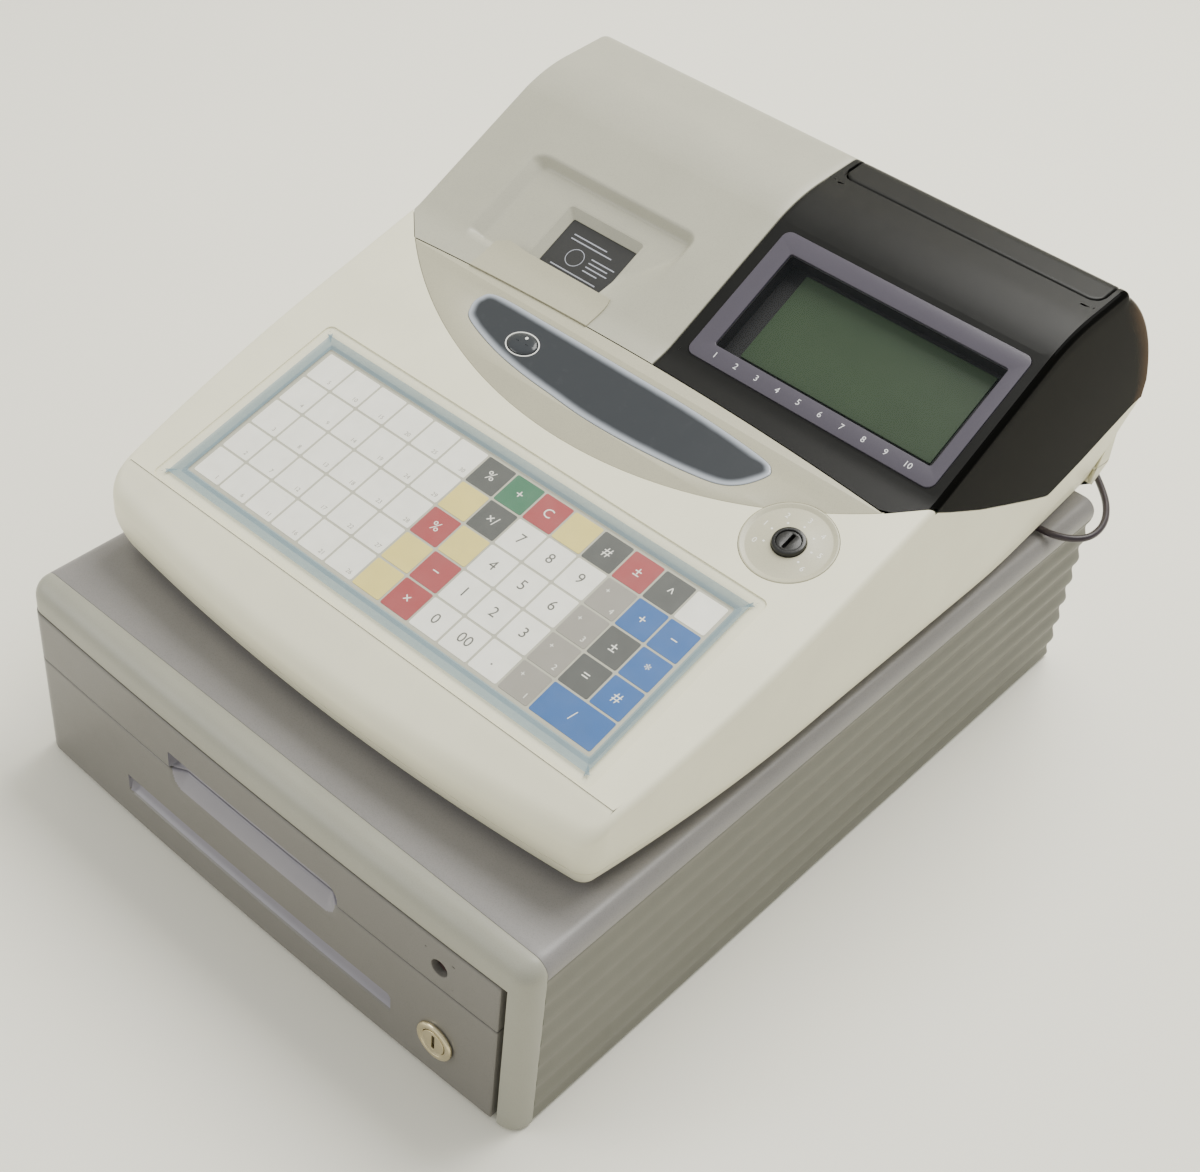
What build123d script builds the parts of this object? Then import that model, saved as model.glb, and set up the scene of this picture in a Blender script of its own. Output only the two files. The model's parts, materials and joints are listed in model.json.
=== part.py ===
from build123d import *
import math
import os

# Ticket register on its cash drawer. Millimetres, +Z up, +X to the operator's right, +Y to the
# rear. The origin is the centre of the drawer cabinet's footprint on the desk.

# ---------------------------------------------------------------- cash drawer cabinet
CAB_W = 330.0          # cabinet width
CAB_D = 443.0          # cabinet depth
CAB_H = 114.0          # top of the cabinet above the desk
FOOT_H = 2.2           # rubber feet
FOOT_R = 9.0
FOOT_INSET = 28.0      # foot centres in from the cabinet's edges
SHEET = 1.2            # pressed steel sheet
PLUNGER_R = 3.2
COVER_T = 2.5          # top cover moulding
COVER_LIP = 10.0       # height of the cover's turned-down lip
COVER_ROUND = 8.0      # rounding of the cover's long edges
BAR_D = 11.5           # depth of the front bezel bar
BAR_H = 17.0           # height of the front bezel bar
BAR_ROUND = 9.5        # rounding of the bar's top front edge
POST_W = 11.2          # width of each bezel post; the drawer front covers the left one
POST_ROUND = 10.0      # rounding of the posts' outer edges
FRONT_BOW = 3.0        # how far the front bows forward at its middle
SIDE_T = 3.0           # side panel moulding
RIB_PITCH = 14.8       # side wave, crest to crest
RIB_DEPTH = 1.8
REAR_T = 2.0
GAP = 0.3              # general clearance between neighbours

# ---------------------------------------------------------------- sliding drawer
FRONT_GAP = 3.0        # dark gap between the drawer front and the posts
FRONT_T = 5.5          # drawer front thickness at its ends
PANEL_PROUD = 0.5      # drawer front ahead of the bezel
FRONT_Z0 = 2.6         # drawer front's lower edge
STRIP_Z0 = 66.0        # joint between lower front and upper strip
RUNNER_ROOM = 19.0     # between the tub and the outside of the cabinet, for the runners
TUB_Z0 = 8.0
TUB_H = 82.0
LATCH_ROOM = 71.5      # behind the tub, for the latch and the kick spring
TRAY_Z = 40.0          # underside of the trays
TRAY_T = 1.6
COIN_D = 92.0          # coin tray depth
COIN_CUPS = 6
LOCK_ZONE = 32.0       # space behind the drawer front for the lock
TRAY_END = 9.7         # between the note tray and the tub's rear wall
NOTE_BAYS = 4
TRAY_WALL = 1.8
TRAY_TOP = 87.0
SCOOP_X0 = -60.0
SCOOP_X1 = 55.0
SCOOP_Z0 = 54.5
SCOOP_Z1 = 77.0
SLOT_X0 = -94.5        # cheque slot
SLOT_X1 = 89.0
SLOT_Z0 = 22.5
SLOT_H = 10.5
LOCK_EDGE = 33.8       # lock and indicator in from the drawer front's edge
LOCK_Z = 28.0
LOCK_RING_R = 10.5
LOCK_RING_T = 1.8
LOCK_BODY_R = 9.0
LOCK_PLUG_R = 6.6
LOCK_LEN = 24.0
LAMP_Z = 79.5
LAMP_R = 4.6
RAIL_Z = 58.4          # underside of the drawer's side rails
ROLLER_R = 6.0
ROLLER_W = 5.0
RAIL_W = 6.6           # how far the side rails stand out from the tub
AXLE_R = 2.0
STRIKE_W = 9.0         # half width of the strike behind the tub
STRIKE_L = 14.0
STRIKE_Z = 38.0        # top of the strike's lip
CLIP_LEN = 52.0
CLIP_Z = 56.0
CLIP_W = 26.0
ROD_R = 2.0
LATCH_BACK = 45.0      # latch pin behind the tub
LATCH_Z = 47.0
LATCH_HALF = 14.0      # half width of the latch bracket
LATCH_PIN_R = 2.5
LATCH_HUB_R = 5.5
LATCH_ARM = 2.0        # half thickness of the latch's arm
COIL_BACK = 13.0       # solenoid behind the latch pin
COIL_TOP = 34.0
SPRING_HALF = 60.0     # half span of the kick spring
SPRING_W = 14.0

# ---------------------------------------------------------------- register
# Heights of the register are measured from the top of the cabinet.
CASE_Z0 = 5.6          # underside of the register case
CASE_PART_Z = 15.0     # joint between lower and upper case
CASE_MID_Z = 26.5      # height where the case is widest
CASE_TAPER = 13.0      # inward slope of the walls below that, in degrees
CASE_HALF_W = 165.0    # half width at the rear
CASE_FRONT_IN = 10.0   # how much the case narrows at each front corner
CASE_FRONT_Y = -189.0  # foremost point of the front arc
CASE_CORNER_Y = -178.5
CASE_REAR_Y = 240.0
CASE_CORNER_R = 13.0
WALL = 2.5
DECK_TILT = 15.64      # slope of the keyboard deck, in degrees
DECK_Y = -149.6        # front edge of the keys
DECK_Z = 52.5          # deck surface above that edge
NOSE_Y = -164.0        # where the deck begins to fall away to the nose
NOSE_Z = 32.5          # height of the nose at the foremost point
SLOPE_Y = 33.3         # where the deck meets the printer slope
SLOPE_TOP_Y = 111.9
SLOPE_TOP_Z = 145.0
RIDGE_Y = 170.0
RIDGE_Z = 155.0
BACK_Y = 178.0         # rear of the ridge
BACK_Z = 150.0
CROWN_BEND = (127.5, 150.6)
CROWN = (145.0, 153.2)
RIDGE_BEND = (175.2, 153.6)
BACK_BEND = (216.5, 111.0)
BACK_LOW = (234.0, 76.0)
REAR_WALL_TOP = 16.0
FACET_Y = 30.0         # where the lower facet of the case's side begins
FACET_RUN = 195.0      # its length, rise and inward slant
FACET_RISE = 57.0
FACET_IN = 12.5
SIDE_Y = -20.0         # where the case reaches its full width
SIDE_BULGE = 3.0
REAR_CORNER_R = 8.0
SPLIT_X = 6.9          # seam between printer cover and display housing
KEY_PITCH = 18.07
KEY_COLS = 14
KEY_ROWS = 5
ROW_PITCH = 18.4
COVER_RIM = 12.0       # wet cover's rim beyond the keys
DIAL_EDGE = 40.4       # dial centre in from the case's side
DIAL_Y = -20.0
DIAL_R = 22.5
DIAL_DISC_R = 19.6
SWITCH_R = 7.75
ROTOR_R = 5.8
TRIM_T = 1.5
TRIM_ARC_R = 233.0
TRIM_FRONT_Y = -36.3
TRIM_REAR_Y = 22.3
BUTTON_X = -52.0
BUTTON_Y = -4.3
BUTTON_W = 16.5
BUTTON_H = 13.0
BEZEL_X0 = 14.3
BEZEL_EDGE = 7.8       # display bezel in from the case's side
BEZEL_Y0 = 37.1
BEZEL_Y1 = 108.9
WINDOW_X0 = 24.8
WINDOW_EDGE = 14.9     # display window in from the case's side
WINDOW_Y0 = 46.2
WINDOW_Y1 = 99.4
PORT_X0 = -94.0        # printer cover's window
PORT_X1 = -43.3
PORT_Y0 = 38.0
PORT_Y1 = 71.7
HEAD_X0 = 10.0         # groove of the customer display
HEAD_EDGE = 5.0        # customer display in from the case's side
HEAD_Y0 = 154.5
HEAD_Z0 = 110.0
MAST_R = 7.0
MAST_Z0 = 44.0         # foot of the customer display's mast
MAST_BACK = 22.0       # mast behind the groove's front
GUIDE_L = 30.0
HOUSING_WALL_Z = 91.0  # lower edge of the wall beside the seam
BACK_WINDOW = (200.0, 131.5)
BACK_WINDOW_HALF = 62.0
RIB_T = 2.0            # walls beside the seam
SIDE_COVER_T = 2.7
FLAP_X0 = -112.5       # tear flap
FLAP_X1 = -38.0
FLAP_Y0 = 34.5
FLAP_Y1 = 36.0
FLAP_T = 1.2
RECESS_X0 = -127.0     # recess of the printer cover
RECESS_X1 = -21.6
RECESS_Y1 = 85.5
RECESS_D = 1.2
HOUSING_RIB = [(20.0, 76.0), (40.0, 92.0), (58.0, 102.0), (110.0, 129.0), (170.0, 138.0), (215.0, 96.0),
               (228.0, 76.0), (228.0, 36.0), (20.0, 36.0)]
LABEL_POINTS = [(-84.0, -7.6), (-90.5, 1.0), (-83.0, 11.9), (0.0, 12.6), (84.0, 9.4), (94.0, 2.5),
                (79.5, -13.0), (43.0, -19.0), (0.7, -20.6), (-40.7, -17.6)]
PAPER_W = 57.5
PAPER_R = 38.0
PAPER_Y = 130.0
PAPER_Z = 70.0
CORE_R = 6.0
PLATEN_Y = 62.0
PLATEN_Z = 89.0
PLATEN_R = 6.0
SHAFT_R = 3.0
GEAR_MODULE = 0.6
GEAR_TEETH = 20
PINION_TEETH = 12
GEAR_W = 4.0
PRINTER_X = -75.0      # middle of the paper path
HINGE_Y = 234.6        # printer cover's hinge line
HINGE_Z = 70.0
KNUCKLE_R = 3.0
KNUCKLE_L = 20.0
KNUCKLES_X = (-140.0, -36.0)
PIN_R = 1.5
FRAME_SIDE = 8.0       # printer frame beyond the paper
FRAME_Y0 = 40.0
FRAME_Y1 = 84.0
FRAME_TOP = 102.0
FRAME_T = 2.0
PANEL_SINK = 9.0       # dark panel under the slope, seen through the window
PANEL_T = 1.5
MOTOR_R = 9.0
MOTOR_L = 16.0
CRADLE_SIDE = 6.0      # roll cradle beyond the paper
CRADLE_HALF = 10.0
BOARD_X0 = -56.0       # main board
BOARD_X1 = 116.0
BOARD_Y0 = -126.0
BOARD_Y1 = -14.0
BOARD_T = 1.6
STANDOFF_H = 4.0
STANDOFF_R = 3.0
SUPPLY_X0 = 20.0       # power supply
SUPPLY_X1 = 100.0
SUPPLY_Y0 = 60.0
SUPPLY_Y1 = 150.0
SUPPLY_H = 30.0
INLET_X = 60.0         # mains inlet in the rear wall
INLET_Z = 32.0
INLET_HALF_W = 9.0
INLET_HALF_H = 7.0
INLET_L = 16.0
SOCKET_WALL = 3.0
SOCKET_L = 11.0
REAR_STRIP = 18.0      # depth of the rear wall's pieces beside the inlet
GLAND_L = 12.0
GROMMET_L = 14.0
GROMMET_HOLE_R = 4.0
FIT = 0.06             # running clearance on a radius
CABLE_R = 1.9
CABLE_ROUTE = [
    (137.0, 174.8, 3.0), (152.0, 174.8, 3.0), (167.0, 176.4, 3.1), (178.2, 186.0, 3.1),
    (179.0, 202.0, 3.2), (171.6, 218.0, 3.4), (158.6, 232.0, 3.8), (144.0, 242.6, 5.4),
    (127.0, 246.4, 10.6), (112.0, 246.4, 10.6)]

# Line on the case's side below the printer cover and the display housing, as (y, z).
HOOD_LINE = [(TRIM_REAR_Y + GAP, 96.8), (34.0, 100.2), (47.0, 93.0), (99.0, 67.3),
             (151.0, 44.8), (225.0, 64.0), (300.0, 70.0)]

HALF_W = CAB_W / 2
TUB_W = CAB_W - 2 * RUNNER_ROOM
TUB_D = CAB_D - FRONT_T - LATCH_ROOM
NOTE_D = TUB_D - LOCK_ZONE - COIN_D - GAP - TRAY_END
CASE_FRONT_HALF = CASE_HALF_W - CASE_FRONT_IN
REAR_WALL_Y = CASE_REAR_Y - 2.0
DIAL_X = CASE_HALF_W - DIAL_EDGE
BEZEL_X1 = CASE_HALF_W - BEZEL_EDGE
WINDOW_X1 = CASE_HALF_W - WINDOW_EDGE
HEAD_X1 = CASE_HALF_W - HEAD_EDGE
FRONT_Y = -CAB_D / 2
REAR_Y = CAB_D / 2
BAR_Y = FRONT_Y + BAR_D
BAR_Z = CAB_H - BAR_H
PANEL_HALF = HALF_W - POST_W - FRONT_GAP
LOCK_X = PANEL_HALF - LOCK_EDGE
TUB_Y0 = FRONT_Y + FRONT_T
TUB_Y1 = TUB_Y0 + TUB_D
LATCH_Y = TUB_Y1 + LATCH_BACK
DECK = Plane(origin=(0, DECK_Y, DECK_Z), x_dir=(1, 0, 0),
             z_dir=(0, -math.sin(math.radians(DECK_TILT)), math.cos(math.radians(DECK_TILT))))
DECK_COS = math.cos(math.radians(DECK_TILT))
DECK_TAN = math.tan(math.radians(DECK_TILT))
SLOPE_Z = DECK_Z + (SLOPE_Y - DECK_Y) * DECK_TAN
SLOPE_ANGLE = math.atan2(SLOPE_TOP_Z - SLOPE_Z, SLOPE_TOP_Y - SLOPE_Y)
SLOPE = Plane(origin=(0, SLOPE_Y, SLOPE_Z), x_dir=(1, 0, 0),
              z_dir=(0, -math.sin(SLOPE_ANGLE), math.cos(SLOPE_ANGLE)))
SLOPE_COS = math.cos(SLOPE_ANGLE)
SLOPE_TAN = math.tan(SLOPE_ANGLE)
ALL = 600.0            # larger than the whole object, for cutting
REGISTER = Pos(0, 0, CAB_H)


def deck_v(y):
    """Distance up the deck from its origin, for a point at plan depth y."""
    return (y - DECK_Y) / DECK_COS


def deck_z(y):
    """Height of the deck surface at plan depth y."""
    return DECK_Z + (y - DECK_Y) * DECK_TAN


def slope_v(y):
    """Distance up the printer slope from its foot, for a point at plan depth y."""
    return (y - SLOPE_Y) / SLOPE_COS


def slope_z(y):
    """Height of the printer slope at plan depth y."""
    return SLOPE_Z + (y - SLOPE_Y) * SLOPE_TAN


def block(x0, x1, y0, y1, z0, z1):
    """Box between two corners."""
    return Pos((x0 + x1) / 2, (y0 + y1) / 2, (z0 + z1) / 2) * Box(x1 - x0, y1 - y0, z1 - z0)


def flat_block(plane, x0, x1, v0, v1, w0, w1):
    """Box between two corners in a tilted plane's own frame."""
    return plane * block(x0, x1, v0, v1, w0, w1)


def rod(x, y, z, radius, length, axis):
    """Cylinder that starts at a point and runs along the named axis."""
    turn = {"x": Rot(0, 90, 0), "y": Rot(-90, 0, 0), "z": Rot(0, 0, 0)}[axis]
    return Pos(x, y, z) * turn * Pos(0, 0, length / 2) * Cylinder(radius, length)


def side_prism(points, x0, x1):
    """Prism along X whose outline is a list of (y, z) points."""
    plane = Plane(origin=(x0, 0, 0), x_dir=(0, 1, 0), z_dir=(1, 0, 0))
    return extrude(plane * make_face(Polyline(*points, close=True)), x1 - x0)


def mirrored(shape):
    """The same shape on the other side of the middle plane."""
    return mirror(shape, about=Plane.YZ)


def solids_of(shape):
    """Solids of a shape or of a list of shapes."""
    if isinstance(shape, (list, tuple)):
        found = []
        for item in shape:
            found += solids_of(item)
        return found
    return list(shape.solids())


def save(node, *shapes):
    """Write one node's solids to its STEP file."""
    found = solids_of(list(shapes))
    result = found[0] if len(found) == 1 else Compound(children=found)
    result.label = node
    export_step(result, f"parts/{node}.step")


def save_register(node, *shapes):
    """Write a node of the register, which stands on the cabinet."""
    save(node, [REGISTER * solid for solid in solids_of(list(shapes))])


# ---------------------------------------------------------------- cabinet
def bowed_front(half, y_end, y_back, z0, z1):
    """Slab whose front face bows forward by FRONT_BOW at the middle of the cabinet."""
    face = make_face([ThreePointArc((-half, y_end), (0, y_end - FRONT_BOW), (half, y_end)),
                      Line((half, y_end), (half, y_back)), Line((half, y_back), (-half, y_back)),
                      Line((-half, y_back), (-half, y_end))])
    return Pos(0, 0, z0) * extrude(face, z1 - z0)


def rounded_front(y_end, y_back, z0, z1):
    """Bowed slab across the whole cabinet with rounded upright corners."""
    slab = bowed_front(HALF_W, y_end, y_back, z0, z1)
    return fillet(slab.edges().filter_by(Axis.Z).group_by(Axis.Y)[0], POST_ROUND)


def drawer_panel(z0, z1):
    """Slab of the drawer's front, from the cabinet's left corner to the gap beside the right post."""
    slab = rounded_front(FRONT_Y - PANEL_PROUD, BAR_Y, z0, z1)
    return slab & block(-ALL, PANEL_HALF, -ALL, TUB_Y0, 0, ALL)


def make_cabinet():
    """Fixed parts of the cash drawer cabinet."""
    feet = [rod(sx * (HALF_W - FOOT_INSET), sy * (REAR_Y - FOOT_INSET), 0, FOOT_R, FOOT_H, "z")
            for sx in (-1, 1) for sy in (-1, 1)]
    feet += [rod(sx * (HALF_W - 45), y, CAB_H, FOOT_R, CASE_Z0, "z")
             for sx in (-1, 1) for y in (-150.0, 130.0)]
    feet.append(rod(0, 0, 0, FOOT_R, FOOT_H, "z"))
    save("rubber_feet", feet)

    inner = HALF_W - SIDE_T - GAP
    pan = block(-inner, inner, BAR_Y, REAR_Y, FOOT_H, FOOT_H + SHEET)
    rear = block(-inner, inner, REAR_Y - REAR_T, REAR_Y, FOOT_H + SHEET, CAB_H - COVER_T)
    rear = fillet(rear.edges().filter_by(Axis.Y).group_by(Axis.Z)[-1], COVER_ROUND - COVER_T + GAP)
    save("base_pan", pan, rear, latch_bracket())

    cover = block(-HALF_W, HALF_W, BAR_Y, REAR_Y, CAB_H - COVER_LIP, CAB_H)
    cover = fillet(cover.edges().filter_by(Axis.Y).group_by(Axis.Z)[-1], COVER_ROUND)
    hollow = block(-HALF_W + SIDE_T, HALF_W - SIDE_T, BAR_Y - 1, REAR_Y + 1,
                   CAB_H - COVER_LIP - 1, CAB_H - COVER_T)
    cover -= fillet(hollow.edges().filter_by(Axis.Y).group_by(Axis.Z)[-1], COVER_ROUND - COVER_T)
    grommet_x, grommet_y = CABLE_ROUTE[0][0] - GROMMET_L / 2, CABLE_ROUTE[0][1]
    cover -= rod(grommet_x, grommet_y, CAB_H - 10, GROMMET_HOLE_R, 20, "z")
    save("top_cover", cover)

    slab = rounded_front(FRONT_Y, BAR_Y, FOOT_H - 0.2, CAB_H)
    slab &= side_prism([(FRONT_Y - FRONT_BOW, 0), (BAR_Y, 0), (BAR_Y, CAB_H),
                        (FRONT_Y + BAR_ROUND - 1.0, CAB_H), (FRONT_Y + 2.6, CAB_H - 2.2),
                        (FRONT_Y - 0.6, CAB_H - 5.6), (FRONT_Y - FRONT_BOW, CAB_H - 10.5)],
                       -HALF_W, HALF_W)
    slab -= block(-HALF_W + POST_W, HALF_W - POST_W, FRONT_Y - 20, BAR_Y + 1, 0, BAR_Z)
    slab -= block(-ALL, 0, -ALL, TUB_Y0 + GAP, 0, BAR_Z)
    save("front_bezel", slab)

    side_top = CAB_H - COVER_LIP
    waves = int((side_top - FOOT_H) / RIB_PITCH)
    start = side_top - waves * RIB_PITCH
    pieces = [Line((HALF_W - SIDE_T, FOOT_H), (HALF_W - SIDE_T, side_top)),
              Line((HALF_W - SIDE_T, side_top), (HALF_W, side_top))]
    for i in range(waves):
        top = side_top - i * RIB_PITCH
        pieces.append(ThreePointArc((HALF_W, top), (HALF_W - RIB_DEPTH, top - RIB_PITCH / 2),
                                    (HALF_W, top - RIB_PITCH)))
    pieces.append(Line((HALF_W, start), (HALF_W, FOOT_H)))
    pieces.append(Line((HALF_W, FOOT_H), (HALF_W - SIDE_T, FOOT_H)))
    profile = make_face(pieces)
    front_plane = Plane(origin=(0, BAR_Y, 0), x_dir=(1, 0, 0), z_dir=(0, -1, 0))
    side = extrude(front_plane * profile, -(REAR_Y - BAR_Y))
    save("side_panels", side, mirrored(side))


def make_runners():
    """Channels on the cabinet's sides and the four rollers."""
    outer = HALF_W - SIDE_T
    roller_x = TUB_W / 2 + 1.0
    low = RAIL_Z - 2 * ROLLER_R - 0.2
    hood_z = RAIL_Z + SHEET + 0.6
    web = block(outer - SHEET, outer, BAR_Y, REAR_Y - REAR_T, FOOT_H + SHEET, hood_z + SHEET)
    shelf = block(roller_x, outer - SHEET, BAR_Y + 2, REAR_Y - REAR_T, low - SHEET, low)
    hood = block(roller_x, outer - SHEET, BAR_Y + 2, REAR_Y - REAR_T, hood_z, hood_z + SHEET)
    front_y = BAR_Y + 16
    roller_z = RAIL_Z - ROLLER_R - 0.1
    axle = rod(roller_x, front_y, roller_z, AXLE_R, outer - SHEET - roller_x, "x")
    runner = [web, shelf, hood, axle]
    save("runners", runner, [mirrored(piece) for piece in runner])
    for end, y in (("front", front_y), ("rear", TUB_Y1 - 12)):
        wheel = rod(roller_x, y, roller_z, ROLLER_R - 0.05, ROLLER_W, "x")
        wheel -= rod(roller_x - 1, y, roller_z, AXLE_R + FIT, ROLLER_W + 2, "x")
        save(f"roller_{end}_right", wheel)
        save(f"roller_{end}_left", mirrored(wheel))


def make_drawer():
    """Everything that slides out with the drawer."""
    half = TUB_W / 2
    tub = block(-half, half, TUB_Y0, TUB_Y1, TUB_Z0, TUB_Z0 + TUB_H)
    tub -= block(-half + SHEET, half - SHEET, TUB_Y0 + SHEET, TUB_Y1 - SHEET,
                 TUB_Z0 + SHEET, TUB_Z0 + TUB_H + 1)
    tub -= block(SLOT_X0, SLOT_X1, TUB_Y0 - 1, TUB_Y0 + SHEET + 1, SLOT_Z0, SLOT_Z0 + SLOT_H)
    tub -= rod(LOCK_X, TUB_Y0 - 1, LOCK_Z, LOCK_BODY_R + GAP, 6, "y")
    rail = block(half, half + RAIL_W, TUB_Y0 + 14, TUB_Y1, RAIL_Z, RAIL_Z + SHEET)
    axle = rod(half, TUB_Y1 - 12, RAIL_Z - ROLLER_R - 0.1, AXLE_R, ROLLER_W + 1.4, "x")
    lip_y = TUB_Y1 + STRIKE_L
    shelf_top = STRIKE_Z - 6.4
    strike = [block(-STRIKE_W, STRIKE_W, TUB_Y1, lip_y, shelf_top - 1.6, shelf_top),
              block(-STRIKE_W, STRIKE_W, lip_y - 1.6, lip_y, shelf_top, STRIKE_Z)]
    save("drawer_tub", tub, rail, mirrored(rail), axle, mirrored(axle), strike)

    panel = drawer_panel(FRONT_Z0, STRIP_Z0 - GAP / 2)
    panel -= block(SCOOP_X0, SCOOP_X1, FRONT_Y - 20, TUB_Y0 - 1.6, SCOOP_Z0, STRIP_Z0 + 1)
    slot = block(SLOT_X0, SLOT_X1, FRONT_Y - 20, TUB_Y0 + 1, SLOT_Z0, SLOT_Z0 + SLOT_H)
    panel -= fillet(slot.edges().filter_by(Axis.Y), SLOT_H / 2 - 0.1)
    panel -= rod(LOCK_X, FRONT_Y - 20, LOCK_Z, LOCK_BODY_R + GAP, 40, "y")
    save("drawer_front", panel)

    strip = drawer_panel(STRIP_Z0 + GAP / 2, BAR_Z - 0.5)
    notch = block(SCOOP_X0, SCOOP_X1, FRONT_Y - 20, TUB_Y0 - 1.6, STRIP_Z0 - 5, SCOOP_Z1)
    strip -= notch
    strip -= rod(LOCK_X, FRONT_Y - 20, LAMP_Z, LAMP_R, 24.0 - FRONT_BOW, "y")
    save("front_strip", strip)

    ring_y = FRONT_Y - PANEL_PROUD - FRONT_BOW - 0.6
    barrel = rod(LOCK_X, ring_y, LOCK_Z, LOCK_RING_R, LOCK_RING_T, "y")
    barrel += rod(LOCK_X, ring_y, LOCK_Z, LOCK_BODY_R, LOCK_LEN, "y")
    barrel -= rod(LOCK_X, ring_y - 1, LOCK_Z, LOCK_PLUG_R + 0.06, LOCK_LEN + 2, "y")
    save("lock_barrel", barrel)
    plug = rod(LOCK_X, ring_y + 0.4, LOCK_Z, LOCK_PLUG_R, LOCK_LEN + 1.6, "y")
    plug -= block(LOCK_X - 0.9, LOCK_X + 0.9, ring_y - 1, ring_y + 10, LOCK_Z - 4.4, LOCK_Z + 4.4)
    cam_y = ring_y + LOCK_LEN + 2.0
    plug += rod(LOCK_X, cam_y, LOCK_Z, 7.0, 2.0, "y")
    plug += block(LOCK_X - 4, LOCK_X + 4, cam_y, cam_y + 2, LOCK_Z - 14, LOCK_Z)
    save("lock_plug", plug)

    shelf_z = TRAY_Z - GAP
    shelf = block(-half + 1.5, half - 1.5, TUB_Y0 + LOCK_ZONE, TUB_Y1 - 1.5, shelf_z - SHEET, shelf_z)
    for side in (-1, 1):
        x0, x1 = sorted((side * (half - 1.5), side * (half - 1.5 - SHEET)))
        shelf += block(x0, x1, TUB_Y0 + LOCK_ZONE, TUB_Y1 - 1.5, TUB_Z0 + SHEET, shelf_z)
    save("tray_shelf", shelf)

    coin_y0 = TUB_Y0 + LOCK_ZONE
    tray_half = half - 2.0
    coin = block(-tray_half, tray_half, coin_y0, coin_y0 + COIN_D, TRAY_Z, TRAY_TOP)
    cup_w = (2 * tray_half - TRAY_WALL) / COIN_CUPS - TRAY_WALL
    for i in range(COIN_CUPS):
        x0 = -tray_half + TRAY_WALL + i * (cup_w + TRAY_WALL)
        coin -= block(x0, x0 + cup_w, coin_y0 + TRAY_WALL, coin_y0 + COIN_D - TRAY_WALL,
                      TRAY_Z + TRAY_T, TRAY_TOP + 1)
    save("coin_tray", coin)

    note_y0 = coin_y0 + COIN_D + GAP
    note_y1 = note_y0 + NOTE_D
    notes = block(-tray_half, tray_half, note_y0, note_y1, TRAY_Z, TRAY_TOP)
    bay_w = (2 * tray_half - TRAY_WALL) / NOTE_BAYS - TRAY_WALL
    rod_y = note_y1 - 40
    clips = []
    for i in range(NOTE_BAYS):
        x0 = -tray_half + TRAY_WALL + i * (bay_w + TRAY_WALL)
        notes -= block(x0, x0 + bay_w, note_y0 + TRAY_WALL, note_y1 - TRAY_WALL,
                       TRAY_Z + TRAY_T, TRAY_TOP + 1)
        middle = x0 + bay_w / 2
        hub = rod(middle - CLIP_W / 2, rod_y, CLIP_Z, ROD_R + 1.8, CLIP_W, "x")
        tip_y, tip_z = rod_y - CLIP_LEN, TRAY_Z + TRAY_T + 1.8
        arm = side_prism([(rod_y - 3, CLIP_Z - 1), (rod_y - 3, CLIP_Z + 1.4), (tip_y, tip_z + 2.4),
                          (tip_y, tip_z)], middle - CLIP_W / 2 + 2, middle + CLIP_W / 2 - 2)
        clip = hub + arm - rod(middle - CLIP_W, rod_y, CLIP_Z, ROD_R + 0.06, 2 * CLIP_W, "x")
        clips.append(clip)
    notes -= rod(-tray_half - 1, rod_y, CLIP_Z, ROD_R, 2 * tray_half + 2, "x")
    save("note_tray", notes)
    save("clip_rod", rod(-tray_half, rod_y, CLIP_Z, ROD_R, 2 * tray_half, "x"))
    for number, clip in enumerate(clips, 1):
        save(f"note_clip_{number}", clip)


def latch_bracket():
    """Two ears and a pin that carry the release latch, on the base pan."""
    foot_z = FOOT_H + SHEET
    y0, y1 = LATCH_Y - LATCH_PIN_R - 5.5, LATCH_Y + LATCH_PIN_R + 5.5
    foot = block(-LATCH_HALF - 2, LATCH_HALF + 2, y0, y1, foot_z, foot_z + SHEET)
    ear = block(LATCH_HALF - SHEET, LATCH_HALF, y0, y1, foot_z + SHEET, LATCH_Z + 6)
    inside = LATCH_HALF - SHEET
    pin = rod(-inside, LATCH_Y, LATCH_Z, LATCH_PIN_R, 2 * inside, "x")
    return [foot, ear, mirrored(ear), pin]


def make_latch():
    """Release latch, its solenoid and the kick spring at the back of the cabinet."""
    hook_y = TUB_Y1 + 4
    hub = LATCH_HALF - SHEET - 1.8
    coil_y = LATCH_Y + COIL_BACK
    lever = rod(-hub, LATCH_Y, LATCH_Z, LATCH_HUB_R, 2 * hub, "x")
    lever += block(-5, 5, hook_y, coil_y + 3, LATCH_Z - LATCH_ARM, LATCH_Z + LATCH_ARM)
    lever += block(-5, 5, hook_y, hook_y + 5, STRIKE_Z + 2.5, LATCH_Z)
    lever -= rod(-hub - 1, LATCH_Y, LATCH_Z, LATCH_PIN_R + FIT, 2 * hub + 2, "x")
    save("latch_lever", lever)
    coil_z = FOOT_H + 2 * SHEET
    coil = block(-11, 11, coil_y - 4.6, coil_y + 6, coil_z, COIL_TOP)
    coil -= rod(0, coil_y, coil_z + 6, PLUNGER_R + 0.1, COIL_TOP, "z")
    save("solenoid", coil)
    plunger_z = coil_z + 10
    plunger_top = LATCH_Z - LATCH_ARM - 2 * GAP
    save("plunger", rod(0, coil_y, plunger_z, PLUNGER_R, plunger_top - plunger_z, "z"))
    seat = REAR_Y - REAR_T
    span = SPRING_HALF - 2
    front = ThreePointArc((-SPRING_HALF, seat), (0, TUB_Y1 + GAP), (SPRING_HALF, seat))
    back = ThreePointArc((span, seat), (0, TUB_Y1 + GAP + SHEET), (-span, seat))
    face = make_face([front, Line(front @ 1, back @ 0), back, Line(back @ 1, front @ 0)])
    save("kick_spring", Pos(0, 0, RAIL_Z + 1.6) * extrude(face, SPRING_W))


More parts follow.
